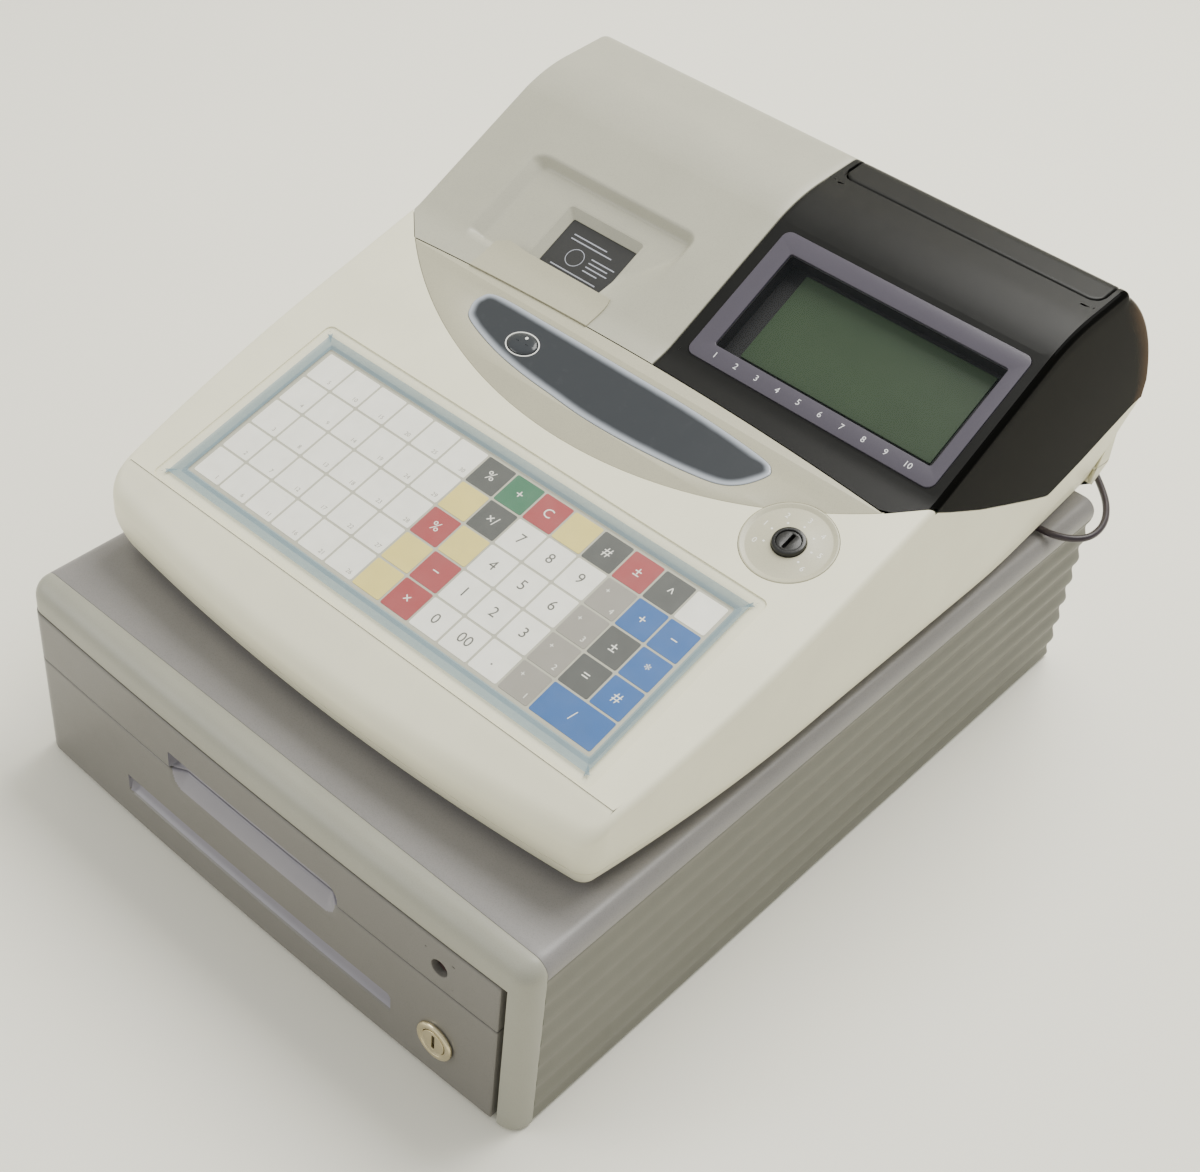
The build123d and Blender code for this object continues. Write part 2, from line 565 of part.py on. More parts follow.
# ---------------------------------------------------------------- register case
def case_outline(inset=0.0):
    """Plan outline of the case at its widest, moved inward by the given distance."""
    corner = Vector(CASE_FRONT_HALF - inset, CASE_CORNER_Y + inset)
    side = Vector(CASE_HALF_W - inset, SIDE_Y)
    rear = Vector(CASE_HALF_W - inset, CASE_REAR_Y - inset)
    bulge = (corner + side) * 0.5 + Vector(SIDE_BULGE, 0)

    def left(point):
        """The point's mirror image on the left."""
        return Vector(-point.X, point.Y)

    face = make_face([
        ThreePointArc(left(corner), (0, CASE_FRONT_Y + inset), corner), ThreePointArc(corner, bulge, side),
        Line(side, rear), Line(rear, left(rear)), Line(left(rear), left(side)),
        ThreePointArc(left(side), left(bulge), left(corner))])
    face = fillet(face.vertices().group_by(Axis.Y)[0], CASE_CORNER_R - inset)
    return fillet(face.vertices().group_by(Axis.Y)[-1], REAR_CORNER_R - inset)


def case_profile(inset=0.0):
    """Side profile of the case as a face in the YZ plane."""
    top = (SLOPE_TOP_Y, SLOPE_TOP_Z)
    low = CASE_Z0 - 20.0
    fall = (deck_z(NOSE_Y) - NOSE_Z) / (NOSE_Y - CASE_FRONT_Y)
    far = (CASE_FRONT_Y - 20, NOSE_Z - 20 * fall)
    nose = (NOSE_Y, deck_z(NOSE_Y))
    lines = [
        Line((far[0], low), far), Line(far, nose), Line(nose, (SLOPE_Y, SLOPE_Z)),
        Line((SLOPE_Y, SLOPE_Z), top),
        ThreePointArc(top, CROWN_BEND, CROWN),
        Line(CROWN, (RIDGE_Y, RIDGE_Z)),
        ThreePointArc((RIDGE_Y, RIDGE_Z), RIDGE_BEND, (BACK_Y, BACK_Z)),
        ThreePointArc((BACK_Y, BACK_Z), BACK_BEND, BACK_LOW),
        Line(BACK_LOW, (REAR_WALL_Y, REAR_WALL_TOP)),
        Line((REAR_WALL_Y, REAR_WALL_TOP), (REAR_WALL_Y, low)),
        Line((REAR_WALL_Y, low), (far[0], low))]
    face = make_face(lines)
    return offset(face, -inset) if inset else face


def case_form(inset=0.0):
    """Closed outer form of the register case, or the same form moved inward."""
    face = case_outline(inset)
    bottom = CASE_Z0 + inset
    taper = (CASE_MID_Z - bottom) * math.tan(math.radians(CASE_TAPER))
    upper = Pos(0, 0, CASE_MID_Z) * extrude(face, ALL)
    lower = loft([Pos(0, 0, bottom) * case_outline(inset + taper), Pos(0, 0, CASE_MID_Z) * face], ruled=True)
    form = upper + lower
    profile = Plane(origin=(-ALL / 2, 0, 0), x_dir=(0, 1, 0), z_dir=(1, 0, 0)) * case_profile(inset)
    form &= extrude(profile, ALL)
    for side in (-1, 1):
        crease = Vector(side * (CASE_HALF_W - inset), FACET_Y, CASE_Z0)
        along = Vector(0, FACET_RUN, FACET_RISE)
        down = Vector(-side * FACET_IN, FACET_RUN, 0)
        wedge = Plane(origin=crease, x_dir=along, z_dir=along.cross(down) * side)
        form -= wedge * block(-ALL, ALL, -ALL, ALL, -ALL, 0)
    return form


def hood_region(x0, x1, drop=0.0):
    """Space of the printer cover and the display housing, above the line on the case's side."""
    line = [(y, z - drop) for y, z in HOOD_LINE]
    return side_prism([(line[0][0], ALL)] + line + [(line[-1][0], ALL)], x0, x1)


def make_case(outer, inner):
    """Lower case, upper case and trim plate; returns the shell for the hoods."""
    shell = outer - inner
    lower = shell & block(-ALL, ALL, -ALL, ALL, 0, CASE_PART_Z)
    gland_x, gland_y, gland_z = CABLE_ROUTE[-1]
    slot = block(gland_x - GLAND_L - GAP, gland_x + GAP, CASE_REAR_Y - 12, gland_y + 10,
                 CASE_Z0 + WALL, CASE_PART_Z + 1)
    lower -= slot
    save_register("lower_case", lower)
    gland = block(gland_x - GLAND_L, gland_x, CASE_REAR_Y - 9, gland_y + 3.4,
                  CASE_Z0 + WALL, CASE_PART_Z - 0.1)
    grommet_x, grommet_y = CABLE_ROUTE[0][0] - GROMMET_L / 2, CABLE_ROUTE[0][1]
    grommet = block(grommet_x - GROMMET_L / 2, grommet_x + GROMMET_L / 2, grommet_y - 5, grommet_y + 5,
                    0, CASE_Z0 - 0.5)
    grommet += rod(grommet_x, grommet_y, -COVER_T - 2, GROMMET_HOLE_R, COVER_T + 2, "z")
    save_register("cable_reliefs", gland, grommet)

    arc = Pos(0, TRIM_FRONT_Y + TRIM_ARC_R, 0) * extrude(Circle(TRIM_ARC_R), ALL)
    skin = flat_block(DECK, -ALL, ALL, -ALL, ALL, -TRIM_T, ALL)
    zone = outer & arc & skin & block(-ALL, ALL, -ALL, TRIM_REAR_Y, 0, ALL)
    dial_at = DECK * Pos(DIAL_X, deck_v(DIAL_Y), 0)
    button_at = DECK * Pos(BUTTON_X, deck_v(BUTTON_Y), 0)
    button_rim = Ellipse(BUTTON_W / 2 + GAP, BUTTON_H / 2 + GAP)
    button_hole = button_at * Pos(0, 0, -8) * extrude(button_rim, 16)
    dial_hole = dial_at * Cylinder(DIAL_R, 20)
    lens_base = DECK * Pos(0, 0, -0.4)
    lens = lens_base * extrude(label_outline(), 0.8) - button_hole
    trim = zone - dial_hole - button_hole - lens_base * extrude(label_outline(), 2.0)
    save_register("trim_plate", trim)
    save_register("label_lens", lens)

    upper = shell & block(-ALL, ALL, -ALL, ALL, CASE_PART_Z, ALL)
    upper -= hood_region(-ALL, ALL, GAP)
    upper -= zone
    upper -= dial_hole
    upper -= button_hole
    half = KEY_COLS * KEY_PITCH / 2
    depth = KEY_ROWS * ROW_PITCH
    upper -= flat_block(DECK, -half - 3, half + 3, -3, depth + 3, -WALL * 2, 10)
    upper -= flat_block(DECK, -half - COVER_RIM - GAP, half + COVER_RIM + GAP,
                        -COVER_RIM - 2.5, depth + COVER_RIM, -0.8, 10)
    inlet_x = (INLET_X - INLET_HALF_W, INLET_X + INLET_HALF_W)
    inlet_z = (INLET_Z - INLET_HALF_H, INLET_Z + INLET_HALF_H)
    upper -= block(*inlet_x, CASE_REAR_Y - INLET_L, ALL, *inlet_z)
    carrier = button_at * block(-11, 11, -9, 9, -10.4, -WALL)
    carrier -= button_at * block(-9, 9, -12, 12, -8.8, 10)
    carrier -= button_at * Cylinder(2.3, 40)
    upper += carrier
    for x in KNUCKLES_X:
        for ear_x in (x - 4 - GAP, x + KNUCKLE_L + GAP):
            ear = block(ear_x, ear_x + 4, HINGE_Y - KNUCKLE_R, HINGE_Y + KNUCKLE_R, HINGE_Z - 10, HINGE_Z)
            upper += ear + rod(ear_x, HINGE_Y, HINGE_Z, KNUCKLE_R, 4, "x")
        upper += rod(x - 4, HINGE_Y, HINGE_Z, PIN_R, KNUCKLE_L + 8, "x")
    rear_y = CASE_REAR_Y - REAR_STRIP
    beside = [block(-ALL, inlet_x[0], rear_y, ALL, 0, ALL), block(inlet_x[1], ALL, rear_y, ALL, 0, ALL)]
    between = [block(*inlet_x, rear_y, ALL, 0, inlet_z[0]), block(*inlet_x, rear_y, ALL, inlet_z[1], ALL)]
    front = block(-ALL, ALL, -ALL, rear_y, 0, ALL)
    save_register("upper_case", [upper & zone for zone in [front] + beside + between])
    return shell


def label_outline():
    """Outline of the dark label lens in the deck's own frame."""
    flat = [(x, deck_v(y)) for x, y in LABEL_POINTS]
    return make_face(Spline(*flat, periodic=True))


def make_keyboard():
    """Key sheet, backplate and wet cover, in layers under the deck."""
    half = KEY_COLS * KEY_PITCH / 2
    depth = KEY_ROWS * ROW_PITCH
    save_register("key_sheet", flat_block(DECK, -half - 2, half + 2, -2, depth + 2, -2.7, -2.2))
    plate = flat_block(DECK, -half - 8, half + 8, -8, depth + 8, -4.4, -WALL)
    plate -= flat_block(DECK, -half - 2.2, half + 2.2, -2.2, depth + 2.2, -2.7, 0)
    save_register("keyboard_backplate", plate)
    rim = flat_block(DECK, -half - COVER_RIM, half + COVER_RIM, -COVER_RIM - 2.2, depth + COVER_RIM - 0.3,
                     -0.8, 0.6)
    rim -= flat_block(DECK, -half - 1.5, half + 1.5, -1.5, depth + 1.5, -2, 2)
    pan = flat_block(DECK, -half - 2.5, half + 2.5, -2.5, depth + 2.5, -2.2, -1.2)
    wall = flat_block(DECK, -half - 2.5, half + 2.5, -2.5, depth + 2.5, -2.2, 0.6)
    wall -= flat_block(DECK, -half - 1.5, half + 1.5, -1.5, depth + 1.5, -3, 2)
    save_register("wet_cover", rim + pan + wall)


def make_switch():
    """Mode switch: printed dial, barrel and the rotor that a key turns."""
    at = DECK * Pos(DIAL_X, deck_v(DIAL_Y), 0)
    dial = at * Pos(0, 0, -1.4) * Cylinder(DIAL_R - 0.2, 2.8)
    dial -= at * Pos(0, 0, 0.6) * Cylinder(DIAL_DISC_R, 2.4)
    dial -= at * Cylinder(SWITCH_R, 20)
    save_register("switch_dial", dial)
    barrel = at * Pos(0, 0, -9.4) * Cylinder(SWITCH_R, 22)
    barrel += at * Pos(0, 0, -14) * Box(22, 22, 12)
    barrel -= at * Pos(0, 0, -8) * Cylinder(ROTOR_R + 0.06, 30)
    save_register("switch_barrel", barrel)
    rotor = at * Pos(0, 0, -10) * Cylinder(ROTOR_R, 22)
    rotor -= at * Pos(0, 0, 0) * Box(1.6, 8.6, 14)
    save_register("switch_rotor", rotor)

    button_at = DECK * Pos(BUTTON_X, deck_v(BUTTON_Y), 0)
    button = button_at * Pos(0, 0, -3.5) * extrude(Ellipse(BUTTON_W / 2, BUTTON_H / 2), 5.1)
    button += button_at * Pos(0, 0, -7) * Cylinder(2.0, 8)
    save_register("ticket_button", button)


def make_hoods(outer, inner, shell):
    """Printer cover, display housing, glossy side cover and the customer display."""
    seam_x = SPLIT_X - GAP / 2
    printer = shell & hood_region(-ALL, seam_x)
    rib = outer & hood_region(seam_x - RIB_T, seam_x)
    printer += rib - side_prism(HOUSING_RIB, -ALL, ALL)
    printer -= flat_block(SLOPE, PORT_X0, PORT_X1, slope_v(PORT_Y0), slope_v(PORT_Y1), -30, 30)
    printer -= flat_block(SLOPE, RECESS_X0, RECESS_X1, slope_v(FLAP_Y1), slope_v(RECESS_Y1), -RECESS_D, 30)
    for x in KNUCKLES_X:
        printer += rod(x, HINGE_Y, HINGE_Z, KNUCKLE_R, KNUCKLE_L, "x")
        for ear_x in (x - 4 - 2 * GAP, x + KNUCKLE_L):
            printer -= block(ear_x, ear_x + 4 + 2 * GAP, HINGE_Y - 12, HINGE_Y + 12, 0, HINGE_Z + 4.5)
        printer -= rod(x - 5, HINGE_Y, HINGE_Z, PIN_R + FIT, KNUCKLE_L + 10, "x")
    save_register("printer_cover", printer)
    flap = flat_block(SLOPE, FLAP_X0, FLAP_X1, slope_v(FLAP_Y0), slope_v(FLAP_Y1), 0, FLAP_T)
    flap += flat_block(SLOPE, FLAP_X0, FLAP_X1, slope_v(FLAP_Y1), slope_v(PORT_Y0), -RECESS_D, FLAP_T)
    save_register("tear_flap", flap)

    side_x = CASE_HALF_W - SIDE_COVER_T
    housing = shell & hood_region(SPLIT_X + GAP / 2, side_x - GAP)
    left_wall = outer & hood_region(SPLIT_X + GAP / 2, SPLIT_X + GAP / 2 + RIB_T)
    housing += left_wall - block(-ALL, ALL, -ALL, ALL, 0, HOUSING_WALL_Z)
    pocket_wall = outer & block(HEAD_X0 - 2, HEAD_X1 + 2 - 0.3, HEAD_Y0 - 2, ALL, HEAD_Z0 - 2, ALL)
    housing += pocket_wall
    guide_top = HEAD_Z0 - 1
    housing -= block(HEAD_X0, HEAD_X1, HEAD_Y0, ALL, HEAD_Z0, ALL)
    mast_x, mast_y = (HEAD_X0 + HEAD_X1) / 2, HEAD_Y0 + MAST_BACK
    housing += rod(mast_x, mast_y, guide_top - GUIDE_L, MAST_R + WALL, GUIDE_L, "z")
    housing -= rod(mast_x, mast_y, HEAD_Z0 - 2 * GUIDE_L, MAST_R + GAP, 3 * GUIDE_L, "z")
    housing -= flat_block(SLOPE, WINDOW_X0 - 3, WINDOW_X1 + 3, slope_v(WINDOW_Y0) - 3, slope_v(WINDOW_Y1) + 3,
                          -20, 20)
    housing -= flat_block(SLOPE, BEZEL_X0, BEZEL_X1, slope_v(BEZEL_Y0), slope_v(BEZEL_Y1), -1.2, 20)
    save_register("display_housing", housing)
    cover = outer & hood_region(side_x, ALL)
    save_register("display_side_cover", cover)

    bezel = flat_block(SLOPE, BEZEL_X0 + 0.2, BEZEL_X1 - 0.2,
                       slope_v(BEZEL_Y0) + 0.2, slope_v(BEZEL_Y1) - 0.2, -1.2, 1.0)
    bezel -= flat_block(SLOPE, WINDOW_X0, WINDOW_X1, slope_v(WINDOW_Y0), slope_v(WINDOW_Y1), -10, 10)
    save_register("display_bezel", bezel)
    glass = flat_block(SLOPE, WINDOW_X0 - 2.5, WINDOW_X1 + 2.5,
                       slope_v(WINDOW_Y0) - 2.5, slope_v(WINDOW_Y1) + 2.5, -2.4, -1.2)
    save_register("display_window", glass)
    lcd = flat_block(SLOPE, WINDOW_X0, WINDOW_X1, slope_v(WINDOW_Y0), slope_v(WINDOW_Y1), -10.0, -2.4)
    save_register("lcd_module", lcd)

    head = outer & block(HEAD_X0 + 1, HEAD_X1 - 1, HEAD_Y0 + 0.8, ALL, HEAD_Z0 + 0.4, ALL)
    face_pocket = outer_back_pocket(mast_x)
    window = head & face_pocket
    head -= face_pocket
    head -= inner & block(HEAD_X0 + 3.5, HEAD_X1 - 3.5, HEAD_Y0 + 3.3, ALL, HEAD_Z0 + 3, ALL)
    head += rod(mast_x, mast_y, MAST_Z0, MAST_R, HEAD_Z0 + 1 - MAST_Z0, "z")
    save_register("customer_head", head)
    save_register("customer_window", window)


def outer_back_pocket(middle_x):
    """Shallow pocket for the window on the customer display's sloping back."""
    back = Plane(origin=(middle_x, *BACK_WINDOW), x_dir=(-1, 0, 0), z_dir=(0, 0.75, 0.66))
    return back * block(-BACK_WINDOW_HALF, BACK_WINDOW_HALF, -13, 14, -4.0, ALL)


def make_printer():
    """Ticket printer under its cover, with its paper roll."""
    half = PAPER_W / 2
    frame_x0, frame_x1 = PRINTER_X - half - FRAME_SIDE, PRINTER_X + half + FRAME_SIDE
    z0 = CASE_Z0 + WALL
    head_z = PLATEN_Z - 13
    rear_y = PLATEN_Y + 4
    frame = block(frame_x0, frame_x0 + FRAME_T, FRAME_Y0, FRAME_Y1, z0, FRAME_TOP)
    frame += block(frame_x1 - FRAME_T, frame_x1, FRAME_Y0, FRAME_Y1, z0, FRAME_TOP)
    frame += block(frame_x0, frame_x1, FRAME_Y0, FRAME_Y1, z0, z0 + FRAME_T)
    frame += block(frame_x0, frame_x1, rear_y, FRAME_Y1, head_z - FRAME_T, head_z)
    frame += block(frame_x0, frame_x1, PLATEN_Y - 14, PLATEN_Y - 10, PLATEN_Z + 1, PLATEN_Z + 7)
    gear_x = frame_x1 + 1.0
    motor_x = gear_x + 5.2
    pinion_y = PLATEN_Y + GEAR_MODULE * (GEAR_TEETH + PINION_TEETH) / 2 + 0.1
    frame += block(motor_x - 1, motor_x, PLATEN_Y - 2, FRAME_Y1, z0, FRAME_TOP - 2)
    frame += block(frame_x1 - FRAME_T, motor_x, PLATEN_Y - 2, FRAME_Y1, z0, z0 + FRAME_T)
    frame -= rod(motor_x - 2, pinion_y, PLATEN_Z, 1.5, 4, "x")
    for x in (frame_x0 - 1, frame_x1 - 3):
        frame -= rod(x, PLATEN_Y, PLATEN_Z, SHAFT_R + FIT, 4, "x")
    panel_w = -PANEL_SINK - PANEL_T
    frame -= flat_block(SLOPE, -ALL, ALL, -ALL, ALL, panel_w, ALL)
    save_register("printer_frame", frame)
    panel = flat_block(SLOPE, frame_x0, frame_x1, slope_v(FRAME_Y0), slope_v(PORT_Y1), panel_w, -PANEL_SINK)
    save_register("printer_panel", panel)
    platen = rod(PRINTER_X - half, PLATEN_Y, PLATEN_Z, PLATEN_R, PAPER_W, "x")
    platen += rod(frame_x0 - 1, PLATEN_Y, PLATEN_Z, SHAFT_R, frame_x1 - frame_x0 + 6, "x")
    platen += Pos(gear_x, PLATEN_Y, PLATEN_Z) * Rot(0, 90, 0) * gear_disc(GEAR_TEETH)
    save_register("platen_roller", platen)
    pinion = gear_disc(PINION_TEETH, turn=180 / PINION_TEETH)
    save_register("motor_pinion", Pos(gear_x, pinion_y, PLATEN_Z) * Rot(0, 90, 0) * pinion
         + rod(gear_x, pinion_y, PLATEN_Z, 1.0, 7, "x"))
    motor = rod(motor_x, pinion_y, PLATEN_Z, MOTOR_R, MOTOR_L, "x")
    motor -= rod(motor_x - 1, pinion_y, PLATEN_Z, 1.0 + FIT, 4, "x")
    save_register("paper_motor", motor)
    head = block(frame_x0 + FRAME_T, frame_x1 - FRAME_T, PLATEN_Y + PLATEN_R + GAP, FRAME_Y1 - 10,
                 head_z, PLATEN_Z + 5)
    save_register("thermal_head", head)
    roll = rod(PRINTER_X - half, PAPER_Y, PAPER_Z, PAPER_R, PAPER_W, "x")
    roll -= rod(PRINTER_X - half - 1, PAPER_Y, PAPER_Z, CORE_R, PAPER_W + 2, "x")
    save_register("paper_roll", roll)
    cradle_x0, cradle_x1 = PRINTER_X - half - CRADLE_SIDE, PRINTER_X + half + CRADLE_SIDE
    cradle_y0, cradle_y1 = PAPER_Y - CRADLE_HALF, PAPER_Y + CRADLE_HALF
    cradle = rod(cradle_x0, PAPER_Y, PAPER_Z, CORE_R - GAP, cradle_x1 - cradle_x0, "x")
    for x in (cradle_x0, cradle_x1 - FRAME_T):
        cradle += block(x, x + FRAME_T, cradle_y0, cradle_y1, z0, PAPER_Z + 8)
    cradle += block(cradle_x0, cradle_x1, cradle_y0, cradle_y1, z0, z0 + FRAME_T)
    save_register("roll_cradle", cradle)


def gear_disc(teeth, turn=0.0):
    """Spur gear with straight-sided teeth, around Z."""
    outer_r = GEAR_MODULE * (teeth + 2) / 2 - 0.1
    root_r = GEAR_MODULE * (teeth - 2.5) / 2
    points = []
    for i in range(teeth):
        for share, radius in ((-0.30, root_r), (-0.14, outer_r), (0.14, outer_r), (0.30, root_r)):
            angle = math.radians(turn) + (i + share) * 2 * math.pi / teeth
            points.append((radius * math.cos(angle), radius * math.sin(angle)))
    return extrude(make_face(Polyline(*points, close=True)), GEAR_W)


def make_inside():
    """Boards, supply, inlet, release cable and its two strain reliefs."""
    z0 = CASE_Z0 + WALL
    inset = 2 * STANDOFF_R
    posts = [rod(x, y, z0, STANDOFF_R, STANDOFF_H, "z")
             for x in (BOARD_X0 + inset, BOARD_X1 - inset) for y in (BOARD_Y0 + inset, BOARD_Y1 - inset)]
    board_z = z0 + STANDOFF_H
    board = block(BOARD_X0, BOARD_X1, BOARD_Y0, BOARD_Y1, board_z, board_z + BOARD_T)
    save_register("main_board", board, posts)
    save_register("power_supply", block(SUPPLY_X0, SUPPLY_X1, SUPPLY_Y0, SUPPLY_Y1, z0, z0 + SUPPLY_H))
    inlet = block(INLET_X - INLET_HALF_W, INLET_X + INLET_HALF_W, REAR_WALL_Y - INLET_L, REAR_WALL_Y + 1,
                  INLET_Z - INLET_HALF_H, INLET_Z + INLET_HALF_H)
    half_w, half_h = INLET_HALF_W - SOCKET_WALL, INLET_HALF_H - SOCKET_WALL
    inlet -= block(INLET_X - half_w, INLET_X + half_w, REAR_WALL_Y - SOCKET_L, REAR_WALL_Y + 2,
                   INLET_Z - half_h, INLET_Z + half_h)
    save_register("mains_inlet", inlet)


def make_cable():
    """Release cable between the register and the cabinet."""
    points = [Vector(*p) for p in CABLE_ROUTE]
    radii = []
    for before, corner, after in zip(points, points[1:], points[2:]):
        run_in, run_out = corner - before, after - corner
        turn = math.radians(run_in.get_angle(run_out))
        radii.append(0.45 * min(run_in.length, run_out.length) / math.tan(turn / 2))
    path = FilletPolyline(*points, radius=radii)
    start = Plane(origin=path @ 0, z_dir=path % 0)
    tube = sweep(start * Circle(CABLE_R), path=path)
    length = path.length
    print("cable radii", [round(r, 1) for r in radii], "length", round(length, 1))
    print("cable volume", round(tube.volume, 2), "expected", round(math.pi * CABLE_R ** 2 * length, 2))
    save_register("release_cable", tube)


if __name__ == "__main__":
    os.makedirs("parts", exist_ok=True)
    outer_form = case_form()
    inner_form = case_form(WALL)
    case_shell = make_case(outer_form, inner_form)
    make_keyboard()
    make_switch()
    make_hoods(outer_form, inner_form, case_shell)
    make_printer()
    make_inside()
    make_cable()
    make_cabinet()
    make_runners()
    make_drawer()
    make_latch()
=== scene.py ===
"""Looks of a ticket register on its cash drawer: finishes, modelled shells, light and camera."""

import json
import logging
from dataclasses import dataclass
from enum import Enum
from math import acos, asin, atan2, ceil, cos, hypot, pi, radians, sin, tan
from typing import Sequence

import bmesh
import bpy
import numpy as np
from mathutils import Matrix, Vector
from mathutils.geometry import tessellate_polygon

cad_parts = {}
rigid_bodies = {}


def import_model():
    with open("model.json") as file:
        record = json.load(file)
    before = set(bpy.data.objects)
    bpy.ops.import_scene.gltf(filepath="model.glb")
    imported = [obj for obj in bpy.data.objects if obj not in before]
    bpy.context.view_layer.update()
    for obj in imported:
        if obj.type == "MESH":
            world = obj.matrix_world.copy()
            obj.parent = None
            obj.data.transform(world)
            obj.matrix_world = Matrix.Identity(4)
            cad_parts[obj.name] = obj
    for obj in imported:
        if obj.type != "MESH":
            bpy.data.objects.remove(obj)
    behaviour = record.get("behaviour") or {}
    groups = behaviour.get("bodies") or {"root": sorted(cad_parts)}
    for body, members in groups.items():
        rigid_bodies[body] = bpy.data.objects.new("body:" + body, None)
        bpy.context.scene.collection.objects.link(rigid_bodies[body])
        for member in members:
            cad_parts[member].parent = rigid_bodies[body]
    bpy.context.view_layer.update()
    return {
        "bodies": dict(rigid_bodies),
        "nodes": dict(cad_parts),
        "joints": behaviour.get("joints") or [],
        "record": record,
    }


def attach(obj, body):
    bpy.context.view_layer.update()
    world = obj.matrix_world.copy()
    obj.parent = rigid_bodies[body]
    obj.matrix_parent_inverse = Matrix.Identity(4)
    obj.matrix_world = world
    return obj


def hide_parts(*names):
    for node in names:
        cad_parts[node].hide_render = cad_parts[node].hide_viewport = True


log = logging.getLogger("ticket_register")

Array = np.ndarray
Pair = tuple[float, float]
Triple = tuple[float, float, float]
Box = tuple[float, float, float, float]
Colour = tuple[float, float, float, float]
Socket = bpy.types.NodeSocket
Value = Socket | float | Sequence[float]

MM = 0.001
MIRROR = np.array([-1.0, 1.0])
DECK_TILT = radians(15.64)
DECK_POINT = np.array([0.0, -149.6, 166.5])
SLOPE_FOOT = np.array([0.0, 33.3, 217.7])
SLOPE_TILT = atan2(259.0 - 217.7, 111.9 - 33.3)


# ------------------------------------------------------------------ geometry helpers
class Side(Enum):
    """Left or right of the operator."""

    LEFT = -1
    RIGHT = 1


@dataclass(frozen=True)
class TiltedPlane:
    """A plane that runs across the whole register and rises to the rear.

    A point (u, v, w) lies u along X, v up the slope and w along the outward normal.
    """

    origin: Triple
    tilt: float

    def place(self, points: Array) -> Array:
        """Turn plane coordinates into coordinates of the object.

        Args:
            points: array of (u, v, w) rows, in millimetres.

        Returns:
            Array of (x, y, z) rows, in millimetres.
        """
        run, rise = cos(self.tilt), sin(self.tilt)
        u, v, w = np.moveaxis(np.asarray(points), -1, 0)
        x = self.origin[0] + u
        y = self.origin[1] + v * run - w * rise
        z = self.origin[2] + v * rise + w * run
        return stack(x, y, z)

    def at(self, loop: Array, w: float) -> Array:
        """Turn (u, v) points at the height w into coordinates of the object."""
        return self.place(lift(loop, w))

    def v_of(self, y: float) -> float:
        """Distance up the slope of a surface point at plan depth y."""
        return (y - self.origin[1]) / cos(self.tilt)

    def height(self, y: float) -> float:
        """Height of the surface at plan depth y."""
        return self.origin[2] + (y - self.origin[1]) * tan(self.tilt)


DECK = TiltedPlane(tuple(DECK_POINT), DECK_TILT)
SLOPE = TiltedPlane(tuple(SLOPE_FOOT), SLOPE_TILT)


